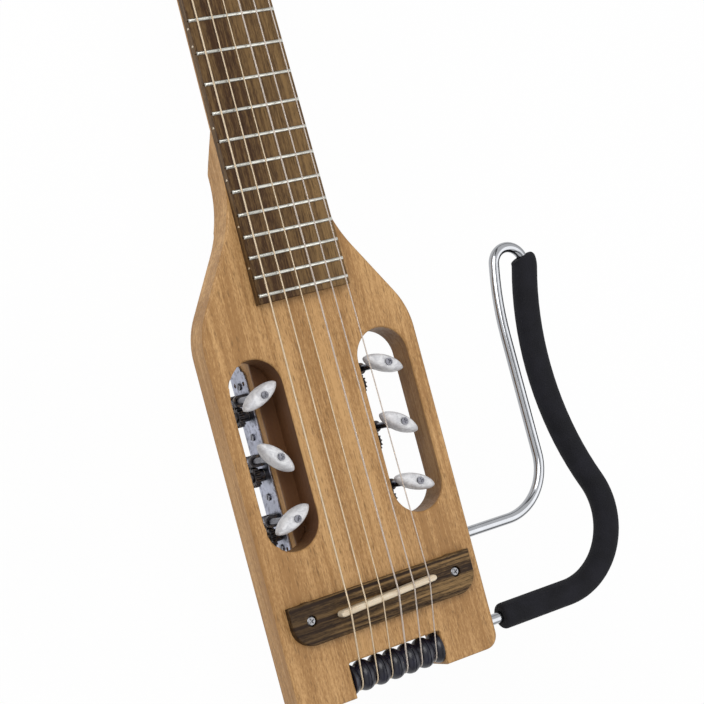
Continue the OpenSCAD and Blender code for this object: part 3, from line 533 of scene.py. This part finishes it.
def metal(name, colour, rough, wear=0.15, stain=None, grain=(400, 400, 400)):
    """Metal with fine brushed variation, soft smudges and, if asked, a darker stain."""
    r = recipe(name)
    p = r.place()
    fine = r.noise(r.scaled(p, grain), detail=4, roughness=0.65)
    smudge = r.noise(p, 90, 3, distortion=0.4)
    shade = r.mix(r.step(smudge, 0.35, 0.7), tuned(colour, 1 - wear), colour)
    if stain:
        shade = r.mix(r.step(r.noise(p, 420, 4), 0.5, 0.68, 0, 0.75), shade, stain)
    return r.surface(
        Base_Color=shade,
        Metallic=1.0,
        Roughness=r.step(fine + smudge, 0.7, 1.3, rough * 0.75, min(1.0, rough * 1.35)),
        Normal=r.bump(fine, 0.00003, 0.25),
    )


def pearl(looks):
    """Pale pearl plastic: grey and white clouds that curl into each other under a gloss."""
    r = recipe("pearl")
    p = r.place()
    cloud = r.noise(p, 130, 4, 0.6, 2.2)
    vein = r.noise(r.scaled(p, (1, 1.6, 0.7)), 260, 3, 0.5, 3.0)
    colour = r.mix(r.step(cloud, 0.36, 0.62), tuple(looks.pearl_dark), tuple(looks.pearl_light))
    colour = r.mix(0.3 * r.step(vein, 0.52, 0.7), colour, (0.84, 0.84, 0.83))
    return r.surface(
        Base_Color=colour,
        Roughness=r.step(vein, 0.3, 0.7, 0.5, 0.38),
        Coat_Weight=0.12,
        Coat_Roughness=0.2,
    )


def plastic(name, colour, rough):
    """Moulded plastic with a fine skin and faint tone changes."""
    r = recipe(name)
    p = r.place()
    skin = r.noise(p, 2200, 3)
    tone = r.noise(p, 110, 2)
    return r.surface(
        Base_Color=r.mix(r.step(tone, 0.3, 0.7), tuned(colour, 0.82), tuned(colour, 1.12)),
        Roughness=r.step(tone + 0.4 * skin, 0.5, 0.95, rough * 0.85, rough * 1.15),
        Normal=r.bump(skin, 0.00002, 0.4),
    )


def foam():
    """Black closed-cell foam: small round cells in a matt skin."""
    r = recipe("black_foam")
    p = r.place()
    cells = r.node(
        "TexVoronoi", {"feature": "F1"}, {"Vector": p, "Scale": 1500.0}, output="Distance"
    )
    patch = r.noise(p, 75, 3)
    return r.surface(
        Base_Color=r.mix(r.step(patch, 0.3, 0.7), (0.006, 0.006, 0.008), (0.014, 0.014, 0.018)),
        Roughness=r.step(patch, 0.3, 0.7, 0.7, 0.9),
        Specular_IOR_Level=0.15,
        Normal=r.bump(cells, 0.0004, 0.5),
    )


def nylon(looks):
    """Clear nylon with a faint rose tint, drawn smooth: half of the light goes through."""
    r = recipe("clear_nylon")
    tone = r.noise(r.scaled(r.uv(), (1, 40, 1)), 1, 3)
    colour = tuple(looks.nylon)
    return r.surface(
        Base_Color=r.mix(r.step(tone, 0.3, 0.7), tuned(colour, 0.92), colour),
        Roughness=r.step(tone, 0.3, 0.7, 0.34, 0.24),
        Transmission_Weight=0.5,
        IOR=1.53,
    )


def wound(looks):
    """Silver wire wound close round a core: one ridge every winding pitch of length, with painted
    shade in the valleys between the ridges.
    """
    r = recipe("silver_winding")
    uv = r.uv()
    round_once = 2 * np.pi
    turn = (r.part(uv, 1) * (round_once / WINDING_PITCH) + r.part(uv, 0) * round_once).sin()
    tone = r.noise(r.scaled(uv, (2, 60, 1)), 1, 3)
    colour = tuple(looks.winding)
    return r.surface(
        # Painted shade: the colour is darker in the valleys between the ridges
        Base_Color=r.mix(r.step(turn, -1, 0.2), tuned(colour, 0.6), colour),
        Metallic=0.75,
        Roughness=r.step(tone, 0.3, 0.7, 0.42, 0.3),
        Normal=r.bump(turn, 0.00004, 0.5),
    )


def roller_black():
    """Black plastic with a soft blue-black gloss and turning marks."""
    r = recipe("roller_black")
    p = r.place()
    marks = r.noise(r.scaled(p, (2400, 160, 160)), detail=2)
    tone = r.noise(p, 140, 2)
    return r.surface(
        Base_Color=r.mix(r.step(tone, 0.3, 0.7), (0.004, 0.004, 0.008), (0.009, 0.009, 0.020)),
        Roughness=r.step(marks, 0.3, 0.7, 0.26, 0.36),
        Normal=r.bump(marks, 0.00002, 0.3),
        Specular_IOR_Level=0.42,
    )


# Paths


def string_path(i):
    """Centreline of a string, 0 the thinnest: from its ball straight over the nut to the
    saddle, over its tail roller, down the channel and in a helix round its post."""
    r = STRING_R[i]
    side = 1 if i < 3 else -1
    rank = i if i < 3 else 5 - i
    share = (2.5 - i) / 5
    nut_x, saddle_x = share * NUT_SPREAD, share * SADDLE_SPREAD
    roller_x = (2.5 - i) * ROLLER_PITCH
    nut_z = CROWN_Z + NUT_ACTION + r
    saddle_y = -SADDLE_BACK + saddle_x * np.tan(SADDLE_SLANT)
    saddle_z = SADDLE_Z + SADDLE_ACTION + r
    on_roller, on_post = GROOVE_R + RUB_GAP + r, POST_R + RUB_GAP + r
    post_y = POST_Y[rank]
    dy, dz = saddle_y - ROLLER_Y, saddle_z - ROLLER_Z
    meet = np.arctan2(dz, dy) + np.arccos(on_roller / np.hypot(dy, dz))
    ey, ez = post_y - ROLLER_Y, POST_Z - ROLLER_Z
    cross = np.arcsin((on_roller + on_post) / np.hypot(ey, ez))
    leave = np.arctan2(ez, ey) + cross + 1.5 * np.pi
    start = np.array(
        [
            [nut_x, ANCHOR_Y + 5.8, BALL_Z],
            [nut_x, ANCHOR_Y - 0.5, BALL_Z],
            [nut_x, SCALE_LEN + 4.8, nut_z],
            [nut_x, SCALE_LEN, nut_z],
        ]
    )
    run = np.linspace([nut_x, SCALE_LEN - 8, 0], [saddle_x, saddle_y + 3, 0], 24)
    share_run = (run[:, 1] - saddle_y) / (SCALE_LEN - saddle_y)
    run[:, 0] = saddle_x + (nut_x - saddle_x) * share_run
    run[:, 2] = saddle_z + (nut_z - saddle_z) * share_run
    a = np.linspace(meet, leave, 40)
    wrap = np.stack(
        [
            np.full(len(a), roller_x),
            ROLLER_Y + on_roller * np.cos(a),
            ROLLER_Z + on_roller * np.sin(a),
        ],
        -1,
    )
    t = np.linspace(0, TURNS, int(48 * TURNS) + 1)
    b = leave - np.pi - 2 * np.pi * t
    way = side if rank == 2 else -side
    helix = np.stack(
        [
            roller_x + way * (2 * r + TURN_GAP) * t,
            post_y + on_post * np.cos(b),
            POST_Z + on_post * np.sin(b),
        ],
        -1,
    )
    saddle = np.array([[saddle_x, saddle_y, saddle_z]])
    return np.concatenate([start, run, saddle, wrap, helix])


def rod_path(foam_only=False):
    """Points along the lap rest's rod, or along the part of it in the foam. Each straight run
    goes on along the heading, and each bend is an arc about a centre beside it."""
    (x, y), h = ROD_START, 0.0
    points, marks = [], []

    def go(size, turn):
        nonlocal x, y, h
        n = max(2, int(abs(turn) / 2.5) + 2) if turn else 12
        f = np.linspace(0, 1, n, endpoint=False)
        if turn:
            w = np.sign(turn)
            cx, cy = x - w * size * np.sin(h), y + w * size * np.cos(h)
            a = h + np.radians(turn) * f
            points.append(np.stack([cx + w * size * np.sin(a), cy - w * size * np.cos(a)], -1))
            h += np.radians(turn)
            x, y = cx + w * size * np.sin(h), cy - w * size * np.cos(h)
        else:
            points.append(np.stack([x + size * f * np.cos(h), y + size * f * np.sin(h)], -1))
            x, y = x + size * np.cos(h), y + size * np.sin(h)
        marks.append(n)

    for size, turn in ROD_RUNS:
        go(size, turn)
    go((y - TAIL_PRONG_Y) / (1 + np.cos(h)), BULGE_TURN)
    go(x - (BODY_HALF + FOAM_TO_BODY), 0)
    go(FOAM_TO_BODY + PRONG_IN, 0)
    path = np.concatenate(points + [[[x, y]]])
    if foam_only:
        first, last = FOAM_RUNS
        path = path[sum(marks[:first]) : sum(marks[:last]) + 1]
    return np.column_stack([path, np.full(len(path), ROD_Z)])


# What a user may change


class GuitarLooks(bpy.types.PropertyGroup):
    """Sizes and colours of the finish."""

    wood_light: bpy.props.FloatVectorProperty(
        name="Light wood",
        description="Light tone of the neck and body",
        subtype="COLOR",
        default=(0.51, 0.30, 0.125),
    )
    wood_dark: bpy.props.FloatVectorProperty(
        name="Dark wood grain",
        description="Dark tone of the neck and body",
        subtype="COLOR",
        default=(0.29, 0.150, 0.052),
    )
    board_light: bpy.props.FloatVectorProperty(
        name="Board streaks",
        description="Light streaks of the fretboard and the bridge",
        subtype="COLOR",
        default=(0.196, 0.118, 0.048),
    )
    board_dark: bpy.props.FloatVectorProperty(
        name="Board",
        description="Dark tone of the fretboard and the bridge",
        subtype="COLOR",
        default=(0.042, 0.019, 0.008),
    )
    pearl_light: bpy.props.FloatVectorProperty(
        name="Pearl",
        description="Light tone of the tuner buttons",
        subtype="COLOR",
        default=(0.63, 0.63, 0.645),
    )
    pearl_dark: bpy.props.FloatVectorProperty(
        name="Pearl clouds",
        description="Grey clouds in the tuner buttons",
        subtype="COLOR",
        default=(0.47, 0.47, 0.49),
    )
    nylon: bpy.props.FloatVectorProperty(
        name="Treble strings",
        description="Tint of the plain nylon strings",
        subtype="COLOR",
        default=(0.68, 0.60, 0.53),
    )
    winding: bpy.props.FloatVectorProperty(
        name="Bass strings",
        description="Tint of the wound strings",
        subtype="COLOR",
        default=(0.67, 0.54, 0.38),
    )
    edge_round: bpy.props.FloatProperty(
        name="Body edge",
        description="Rounding of the body's edges",
        default=0.0013,
        min=0.0002,
        max=0.003,
        subtype="DISTANCE",
        unit="LENGTH",
    )
    foam_diameter: bpy.props.FloatProperty(
        name="Foam sleeve",
        description="Diameter of the lap rest's foam sleeve",
        default=0.0155,
        min=0.01,
        max=0.02,
        subtype="DISTANCE",
        unit="LENGTH",
    )
    rod_diameter: bpy.props.FloatProperty(
        name="Lap rest rod",
        description="Diameter of the lap rest's rod",
        default=0.00635,
        min=0.005,
        max=0.008,
        subtype="DISTANCE",
        unit="LENGTH",
    )


class BuildStep:
    """What the build operators share."""

    bl_options = {"REGISTER", "UNDO"}

    def execute(self, context):
        self.build(context.scene.guitar_looks)
        return {"FINISHED"}


class GUITAR_OT_wood(BuildStep, bpy.types.Operator):
    """Neck, body and tuner block in tan wood, fretboard and bridge in dark wood"""

    bl_idname = "guitar.wood"
    bl_label = "Wood"

    def build(self, looks):
        tan = tan_wood(looks)
        edge = looks.edge_round

        def body_edges(m):
            # The edges under the fretboard, round the roller cut-out's inside, behind the
            # slots and where the tuner block meets the board stay square
            x, y, z = np.abs(m[:, 0]), m[:, 1], m[:, 2]
            outside = (y < 236) & ((x > 34.5) | (z > 40)) & ((y < 171) | (z < 40) | (x > 31))
            outside &= (z > 40) | (x > 60) | (y < 34) | (y > 146)
            head = (y > 634) & (z > 27)
            return outside | head

        body = refined("body", edge, body_edges, 3, onto="neck", slices=SLICE)
        settle(body, "guitar", tan, "wood")
        block = refined("tuner_block", 0.0012, lambda m: m[:, 2] < 20, 3, slices=SLICE)
        settle(block, "guitar", tan, "wood")
        along = dark_wood(looks)
        board = refined("fretboard", 0.0005, lambda m: m[:, 2] > 50, 2)
        settle(board, "guitar", along, "dark_wood")
        across = dark_wood(looks, along_x=True)

        def bridge_edges(m):
            # The top's outer edges, not those of the saddle slot and the screw seats
            x, y, z = np.abs(m[:, 0]), m[:, 1], m[:, 2]
            return (z > 49) & ((x > 53) | (y > 7) | (y < -14.5))

        bridge = refined("bridge", 0.0009, bridge_edges, 3)
        settle(bridge, "guitar", across, "dark_wood")


class GUITAR_OT_bone_and_dots(BuildStep, bpy.types.Operator):
    """Nut, saddle and side dots"""

    bl_idname = "guitar.bone_and_dots"
    bl_label = "Bone and dots"

    def build(self, looks):
        cream = bone(looks)
        settle(refined("nut", 0.0002), "guitar", cream, "bone")
        saddle = refined("saddle", 0.0004, None, 3, slices=SADDLE_SLICE)
        settle(saddle, "guitar", cream, "bone")
        settle(refined("side_dots"), "guitar", cream, "bone")


class GUITAR_OT_frets(BuildStep, bpy.types.Operator):
    """Round frets with filed ends: a half-oval profile carried across the board, which falls
    to the board over its last 0.7 mm"""

    bl_idname = "guitar.frets"
    bl_label = "Frets"

    def build(self, looks):
        y = SCALE_LEN * 2 ** (-np.arange(1, FRETS + 1) / 12)
        growth = HALF_BOARD_GROWTH * (SCALE_LEN - y) / (SCALE_LEN - y[-1])
        half = HALF_BOARD_AT_NUT + growth - FRET_INSET
        # Places across the board, as shares of the half width, and the crown's height there
        share = np.array([-1, -0.9925, -0.975, 0.975, 0.9925, 1])
        rise = np.array([0, 0.62, 1, 1, 0.62, 0])
        a = np.linspace(0, np.pi, 11)
        x = half[:, None, None] * share[None, :, None]
        along = y[:, None, None] + FRET_HALF_WIDTH * np.cos(a)
        z = BOARD_TOP_Z + FRET_RISE * rise[None, :, None] * np.sin(a)
        points = np.stack(np.broadcast_arrays(x, along, z), -1).reshape(-1, 3)
        quads, _ = grid_faces(len(share), len(a))
        size = len(share) * len(a)
        faces = (quads[None] + size * np.arange(FRETS)[:, None, None]).reshape(-1, 4)
        obj = add_object("fret_crowns", points * MM, faces.tolist())
        silver = metal("fret_silver", (0.64, 0.635, 0.58), 0.3, 0.2, grain=(60, 900, 900))
        settle(obj, "guitar", silver, "fret_metal", ["frets"])
        rod = refined("truss_rod", 0.0002)
        settle(rod, "guitar", metal("rod_steel", (0.5, 0.51, 0.53), 0.35), "steel")


class GUITAR_OT_strings(BuildStep, bpy.types.Operator):
    """Six strings, each one tube along its whole route"""

    bl_idname = "guitar.strings"
    bl_label = "Strings"

    def build(self, looks):
        plain, covered = nylon(looks), wound(looks)
        for i in range(6):
            rings = tube_rings(string_path(i), STRING_R[i], 10, np.array([1.0, 0, 0])) * MM
            obj = add_rings(f"string_{i + 1}_finish", rings)
            kind = (plain, "nylon") if i < 3 else (covered, "wound_string")
            settle(obj, "guitar", *kind, [f"string_{i + 1}"])


class GUITAR_OT_head(BuildStep, bpy.types.Operator):
    """String anchor on the head, with its screws and the strings' ball ends"""

    bl_idname = "guitar.head"
    bl_label = "Head fittings"

    def build(self, looks):
        black = metal("black_coating", (0.05, 0.05, 0.055), 0.42, 0.2)
        steel = metal("screw_steel", (0.68, 0.69, 0.71), 0.28)
        brass = metal("ball_brass", (0.80, 0.62, 0.30), 0.3)
        settle(refined("string_anchor", 0.0003), "guitar", black, "black_metal")
        settle(refined("anchor_screws", 0.0001), "guitar", steel, "steel")
        settle(refined("string_balls", 0.0002), "guitar", brass, "brass")


class GUITAR_OT_tuners(BuildStep, bpy.types.Operator):
    """Plates, brackets, worms, gears, posts and pearl buttons"""

    bl_idname = "guitar.tuners"
    bl_label = "Tuners"

    def build(self, looks):
        nickel = metal(
            "nickel_plate", (0.46, 0.48, 0.58), 0.32, 0.35, (0.13, 0.13, 0.16), (500, 120, 500)
        )
        bright = metal("nickel_shaft", (0.21, 0.21, 0.235), 0.3, 0.4, (0.04, 0.04, 0.05))
        dark = metal("dark_steel", (0.075, 0.07, 0.075), 0.4, 0.4, (0.16, 0.12, 0.09))
        steel = metal("tuner_screw_steel", (0.26, 0.26, 0.29), 0.32, 0.3)
        white = plastic("post_white", (0.72, 0.69, 0.62), 0.42)
        shell = pearl(looks)
        for name in ("tuner_plate_bass", "tuner_plate_treble"):
            settle(refined(name, 0.00022), "guitar", nickel, "nickel")
        settle(refined("worm_brackets", 0.0003), "guitar", dark, "dark_metal")
        settle(refined("plate_screws", 0.00015), "guitar", steel, "steel")
        for i in range(1, 7):
            key, post = f"tuner_key_{i}", f"post_and_gear_{i}"
            settle(self.button(i), key, shell, "pearl", [f"button_{i}"])
            settle(refined(f"worm_shaft_{i}", sharp=50), key, bright, "nickel")
            settle(refined(f"post_{i}", 0.0003), post, white, "post_plastic")
            settle(refined(f"gear_{i}", 0.0002), post, dark, "dark_metal")

    def button(self, i):
        """A pearl button: a pillow that is a lens seen along its shaft and an oval from its
        side. Over the angle u round the shaft the lens is (w cos u, t |sin u|^p), and from
        the bottom to the top it is drawn in towards the shaft's hole by the superellipse
        ring^n + (z / h)^n = 1. The hole's wall closes it."""
        w, t, h, hole, p, n = 12.45, 4.6, 6.45, 1.5, 1.22, 2.5
        u = np.linspace(0, 2 * np.pi, 96, endpoint=False)
        v = np.linspace(-np.pi / 2, np.pi / 2, 45)
        ring = (np.abs(np.cos(v)) ** (2 / n))[:, None]
        z = (h * np.sign(np.sin(v)) * np.abs(np.sin(v)) ** (2 / n))[:, None] + 0 * u
        lens = np.stack([w * np.cos(u), t * np.sign(np.sin(u)) * np.abs(np.sin(u)) ** p])
        inner = hole * np.stack([np.cos(u), np.sin(u)])
        x, y = inner[:, None] + (lens - inner)[:, None] * ring
        a = np.radians(BUTTON_TURN[i - 1])
        low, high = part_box(f"button_{i}")
        centre = (np.array(low) + np.array(high)) / 2 / MM
        c, s = np.cos(a), np.sin(a)
        turned = np.stack([x * c - y * s, x * s + y * c, z], -1)
        faces, _ = grid_faces(len(v), len(u), loop_rows=True, loop_cols=True)
        verts = (turned + centre).reshape(-1, 3) * MM
        return add_object(f"button_{i}_finish", verts, faces.tolist())


class GUITAR_OT_tail(BuildStep, bpy.types.Operator):
    """Tail rollers on their axle. A roller's edge is an arc on each side of its groove"""

    bl_idname = "guitar.tail"
    bl_label = "Tail rollers"

    def build(self, looks):
        black = roller_black()
        half, lobe, rim, bore = 4.85, 4.6, 8.8, 2.56
        x = np.linspace(-half + 0.12, half - 0.12, 45)
        r = rim - lobe + np.sqrt(np.maximum(lobe**2 - (half - np.abs(x)) ** 2, 0))
        r = np.maximum(r, GROOVE_R)
        outer = np.column_stack([r, x])
        ends = [[rim - 0.2, half], [4.5, half], [bore + 0.2, half], [bore, half - 0.2]]
        back = [[bore, 0.2 - half], [bore + 0.2, -half], [4.5, -half], [rim - 0.2, -half]]
        profile = np.concatenate([outer, ends, back])
        for i in range(6):
            centre = np.array([(2.5 - i) * ROLLER_PITCH, ROLLER_Y, ROLLER_Z])
            obj = revolve(f"roller_{i + 1}_finish", profile, centre, 72)
            obj.data.set_sharp_from_angle(angle=np.radians(50))
            node = f"roller_{i + 1}"
            settle(obj, f"tail_{node}", black, "roller_black", [node])
        steel = metal("axle_steel", (0.60, 0.61, 0.63), 0.25, grain=(40, 700, 700))
        settle(refined("roller_axle", 0.0002), "guitar", steel, "steel")


class GUITAR_OT_fittings(BuildStep, bpy.types.Operator):
    """Bridge screws, pickup, jack and strap button"""

    bl_idname = "guitar.fittings"
    bl_label = "Bridge and body fittings"

    def build(self, looks):
        nickel = metal("fitting_nickel", (0.50, 0.49, 0.48), 0.22, 0.25)
        black = plastic("lead_black", (0.02, 0.02, 0.02), 0.5)
        dull = metal("bridge_screw_nickel", (0.27, 0.27, 0.28), 0.28, 0.3)
        settle(refined("bridge_screws", 0.00015), "guitar", dull, "nickel")
        settle(refined("output_jack", 0.0003), "guitar", nickel, "nickel")
        settle(refined("strap_button", 0.0004), "guitar", nickel, "nickel")
        settle(refined("pickup", 0.0001), "guitar", black, "black_plastic")


class GUITAR_OT_lap_rest(BuildStep, bpy.types.Operator):
    """Chrome rod bent into a loop, with a foam sleeve that is round at its ends"""

    bl_idname = "guitar.lap_rest"
    bl_label = "Lap rest"

    def build(self, looks):
        up = np.array([0, 0, 1.0])
        path = rod_path()
        r = looks.rod_diameter / 2 / MM
        size = np.full(len(path), r)
        size[[0, -1]] = r - 0.5
        rod = add_rings("lap_rest_rod_finish", tube_rings(path, size, 32, up) * MM)
        chrome = metal("polished_chrome", (0.41, 0.42, 0.44), 0.13, 0.12)
        settle(rod, "lap_rest", chrome, "chrome", ["lap_rest_rod"])
        core = rod_path(foam_only=True)
        away = np.linalg.norm(np.diff(core, axis=0), axis=-1)
        along = np.concatenate([[0], np.cumsum(away)])
        # Extra rings at both ends, where the sleeve's radius follows a quarter circle
        soft = 2.4
        ends = soft * (1 - np.cos(np.linspace(0, np.pi / 2, 9)))
        keep = (along > soft * 1.1) & (along < along[-1] - soft * 1.1)
        places = np.concatenate([ends, along[keep], along[-1] - ends[::-1]])
        line = np.column_stack([np.interp(places, along, core[:, k]) for k in range(3)])
        near = np.minimum(places, along[-1] - places)
        full = looks.foam_diameter / 2 / MM
        out = full - soft + np.sqrt(soft**2 - (soft - np.minimum(near, soft)) ** 2)
        outer = tube_rings(line, out, 40, up)
        inner = tube_rings(line, r + 0.05, 40, up)[::-1]
        sleeve = add_rings("lap_rest_foam_finish", np.concatenate([outer, inner]) * MM, True)
        settle(sleeve, "lap_rest", foam(), "foam", ["lap_rest_foam"])


class GUITAR_OT_stage(BuildStep, bpy.types.Operator):
    """Pale floor, soft lamps, plain world and the camera"""

    bl_idname = "guitar.stage"
    bl_label = "Stage"

    def build(self, looks):
        scene = bpy.context.scene
        scene.view_settings.view_transform = "Standard"
        self.floor()
        self.lamps()
        self.world(scene)
        data = bpy.data.cameras.new("camera")
        data.lens = CAMERA_LENS
        data.sensor_width = SENSOR_WIDTH
        data.clip_end = 50
        camera = bpy.data.objects.new("camera", data)
        camera.location = CAMERA_PLACE
        camera.rotation_euler = np.radians(CAMERA_TURN)
        scene.collection.objects.link(camera)
        scene.camera = camera

    def floor(self):
        """A matt floor under the guitar that looks nearly white, also mirrored or through a
        clear string."""
        s, z = FLOOR_HALF, FLOOR_Z
        corners = [(-s, -s, z), (s, -s, z), (s, s, z), (-s, s, z)]
        floor = add_object("floor", corners, [(0, 1, 2, 3)])
        r = recipe("pale_floor")
        soft = r.node("BsdfDiffuse", None, {"Color": (0.86, 0.86, 0.86, 1)})
        glow = r.node("Emission", None, {"Color": (1, 1, 1, 1), "Strength": 1.0})
        seen = r.node("LightPath", output="Is Camera Ray")
        seen = seen + r.node("LightPath", output="Is Glossy Ray")
        seen = seen + r.node("LightPath", output="Is Transmission Ray")
        both = r.node("MixShader", None, {0: seen * 0.93, 1: soft, 2: glow})
        r.node("OutputMaterial", None, {0: both})
        floor.data.materials.append(r.owner)

    def lamps(self):
        """A large key lamp by the head's bass side and a weaker fill lamp opposite."""
        for name, place, aim, size, power in (
            ("key", (-0.9, 0.9, 1.5), (0, 0.1, 0), 1.3, 22.0),
            ("fill", (1.1, -0.5, 1.3), (0, 0.1, 0), 1.5, 9.0),
        ):
            data = bpy.data.lights.new(name, "AREA")
            data.size = size
            data.energy = power
            lamp = bpy.data.objects.new(name, data)
            way = unit(np.subtract(aim, place))
            lamp.location = place
            lamp.rotation_euler = (np.arccos(-way[2]), 0, np.arctan2(way[1], way[0]) - np.pi / 2)
            bpy.context.scene.collection.objects.link(lamp)

    def world(self, scene):
        """Even light from all round, white to the camera. In a gloss it shows a dark strip
        overhead along the neck and a grey horizon, so that metal has contrast."""
        scene.world = scene.world or bpy.data.worlds.new("world")
        r = Recipe(scene.world)
        way = r.node("TexCoord", output="Generated")
        x, z = r.part(way, 0), r.part(way, 2)
        strip = r.step(abs(0.98 * x + 0.2 * z), 0.07, 0.16, 1, 0) * r.step(z, 0.1, 0.3)
        horizon = r.step(abs(z), 0.05, 0.4, 0.45, 1.0)
        shine = horizon * (1 - 0.93 * strip)
        glossy = r.node("LightPath", output="Is Glossy Ray")
        seen = r.node("LightPath", output="Is Camera Ray")
        seen = seen + r.node("LightPath", output="Is Transmission Ray")
        level = 0.62 * (1 - glossy) * (1 - seen) + glossy * shine + seen
        lit = r.node("Background", None, {"Color": (1, 1, 1, 1), "Strength": level})
        r.node("OutputWorld", None, {0: lit})


class GUITAR_PT_panel(bpy.types.Panel):
    """Sizes, colours and build steps in the sidebar"""

    bl_label = "Travel Guitar"
    bl_idname = "GUITAR_PT_panel"
    bl_space_type = "VIEW_3D"
    bl_region_type = "UI"
    bl_category = "Guitar"

    def draw(self, context):
        looks = context.scene.guitar_looks
        for name in GuitarLooks.__annotations__:
            self.layout.prop(looks, name)
        for step in STEPS:
            self.layout.operator(step.bl_idname)


STEPS = (
    GUITAR_OT_wood,
    GUITAR_OT_bone_and_dots,
    GUITAR_OT_frets,
    GUITAR_OT_strings,
    GUITAR_OT_head,
    GUITAR_OT_tuners,
    GUITAR_OT_tail,
    GUITAR_OT_fittings,
    GUITAR_OT_lap_rest,
    GUITAR_OT_stage,
)


def register():
    bpy.utils.register_class(GuitarLooks)
    for step in STEPS:
        bpy.utils.register_class(step)
    bpy.utils.register_class(GUITAR_PT_panel)
    bpy.types.Scene.guitar_looks = bpy.props.PointerProperty(type=GuitarLooks)


def unregister():
    del bpy.types.Scene.guitar_looks
    bpy.utils.unregister_class(GUITAR_PT_panel)
    for step in reversed(STEPS):
        bpy.utils.unregister_class(step)
    bpy.utils.unregister_class(GuitarLooks)


def main():
    """Builds every piece in order."""
    register()
    for step in STEPS:
        group, name = step.bl_idname.split(".")
        getattr(getattr(bpy.ops, group), name)()


if __name__ == "__main__":
    main()
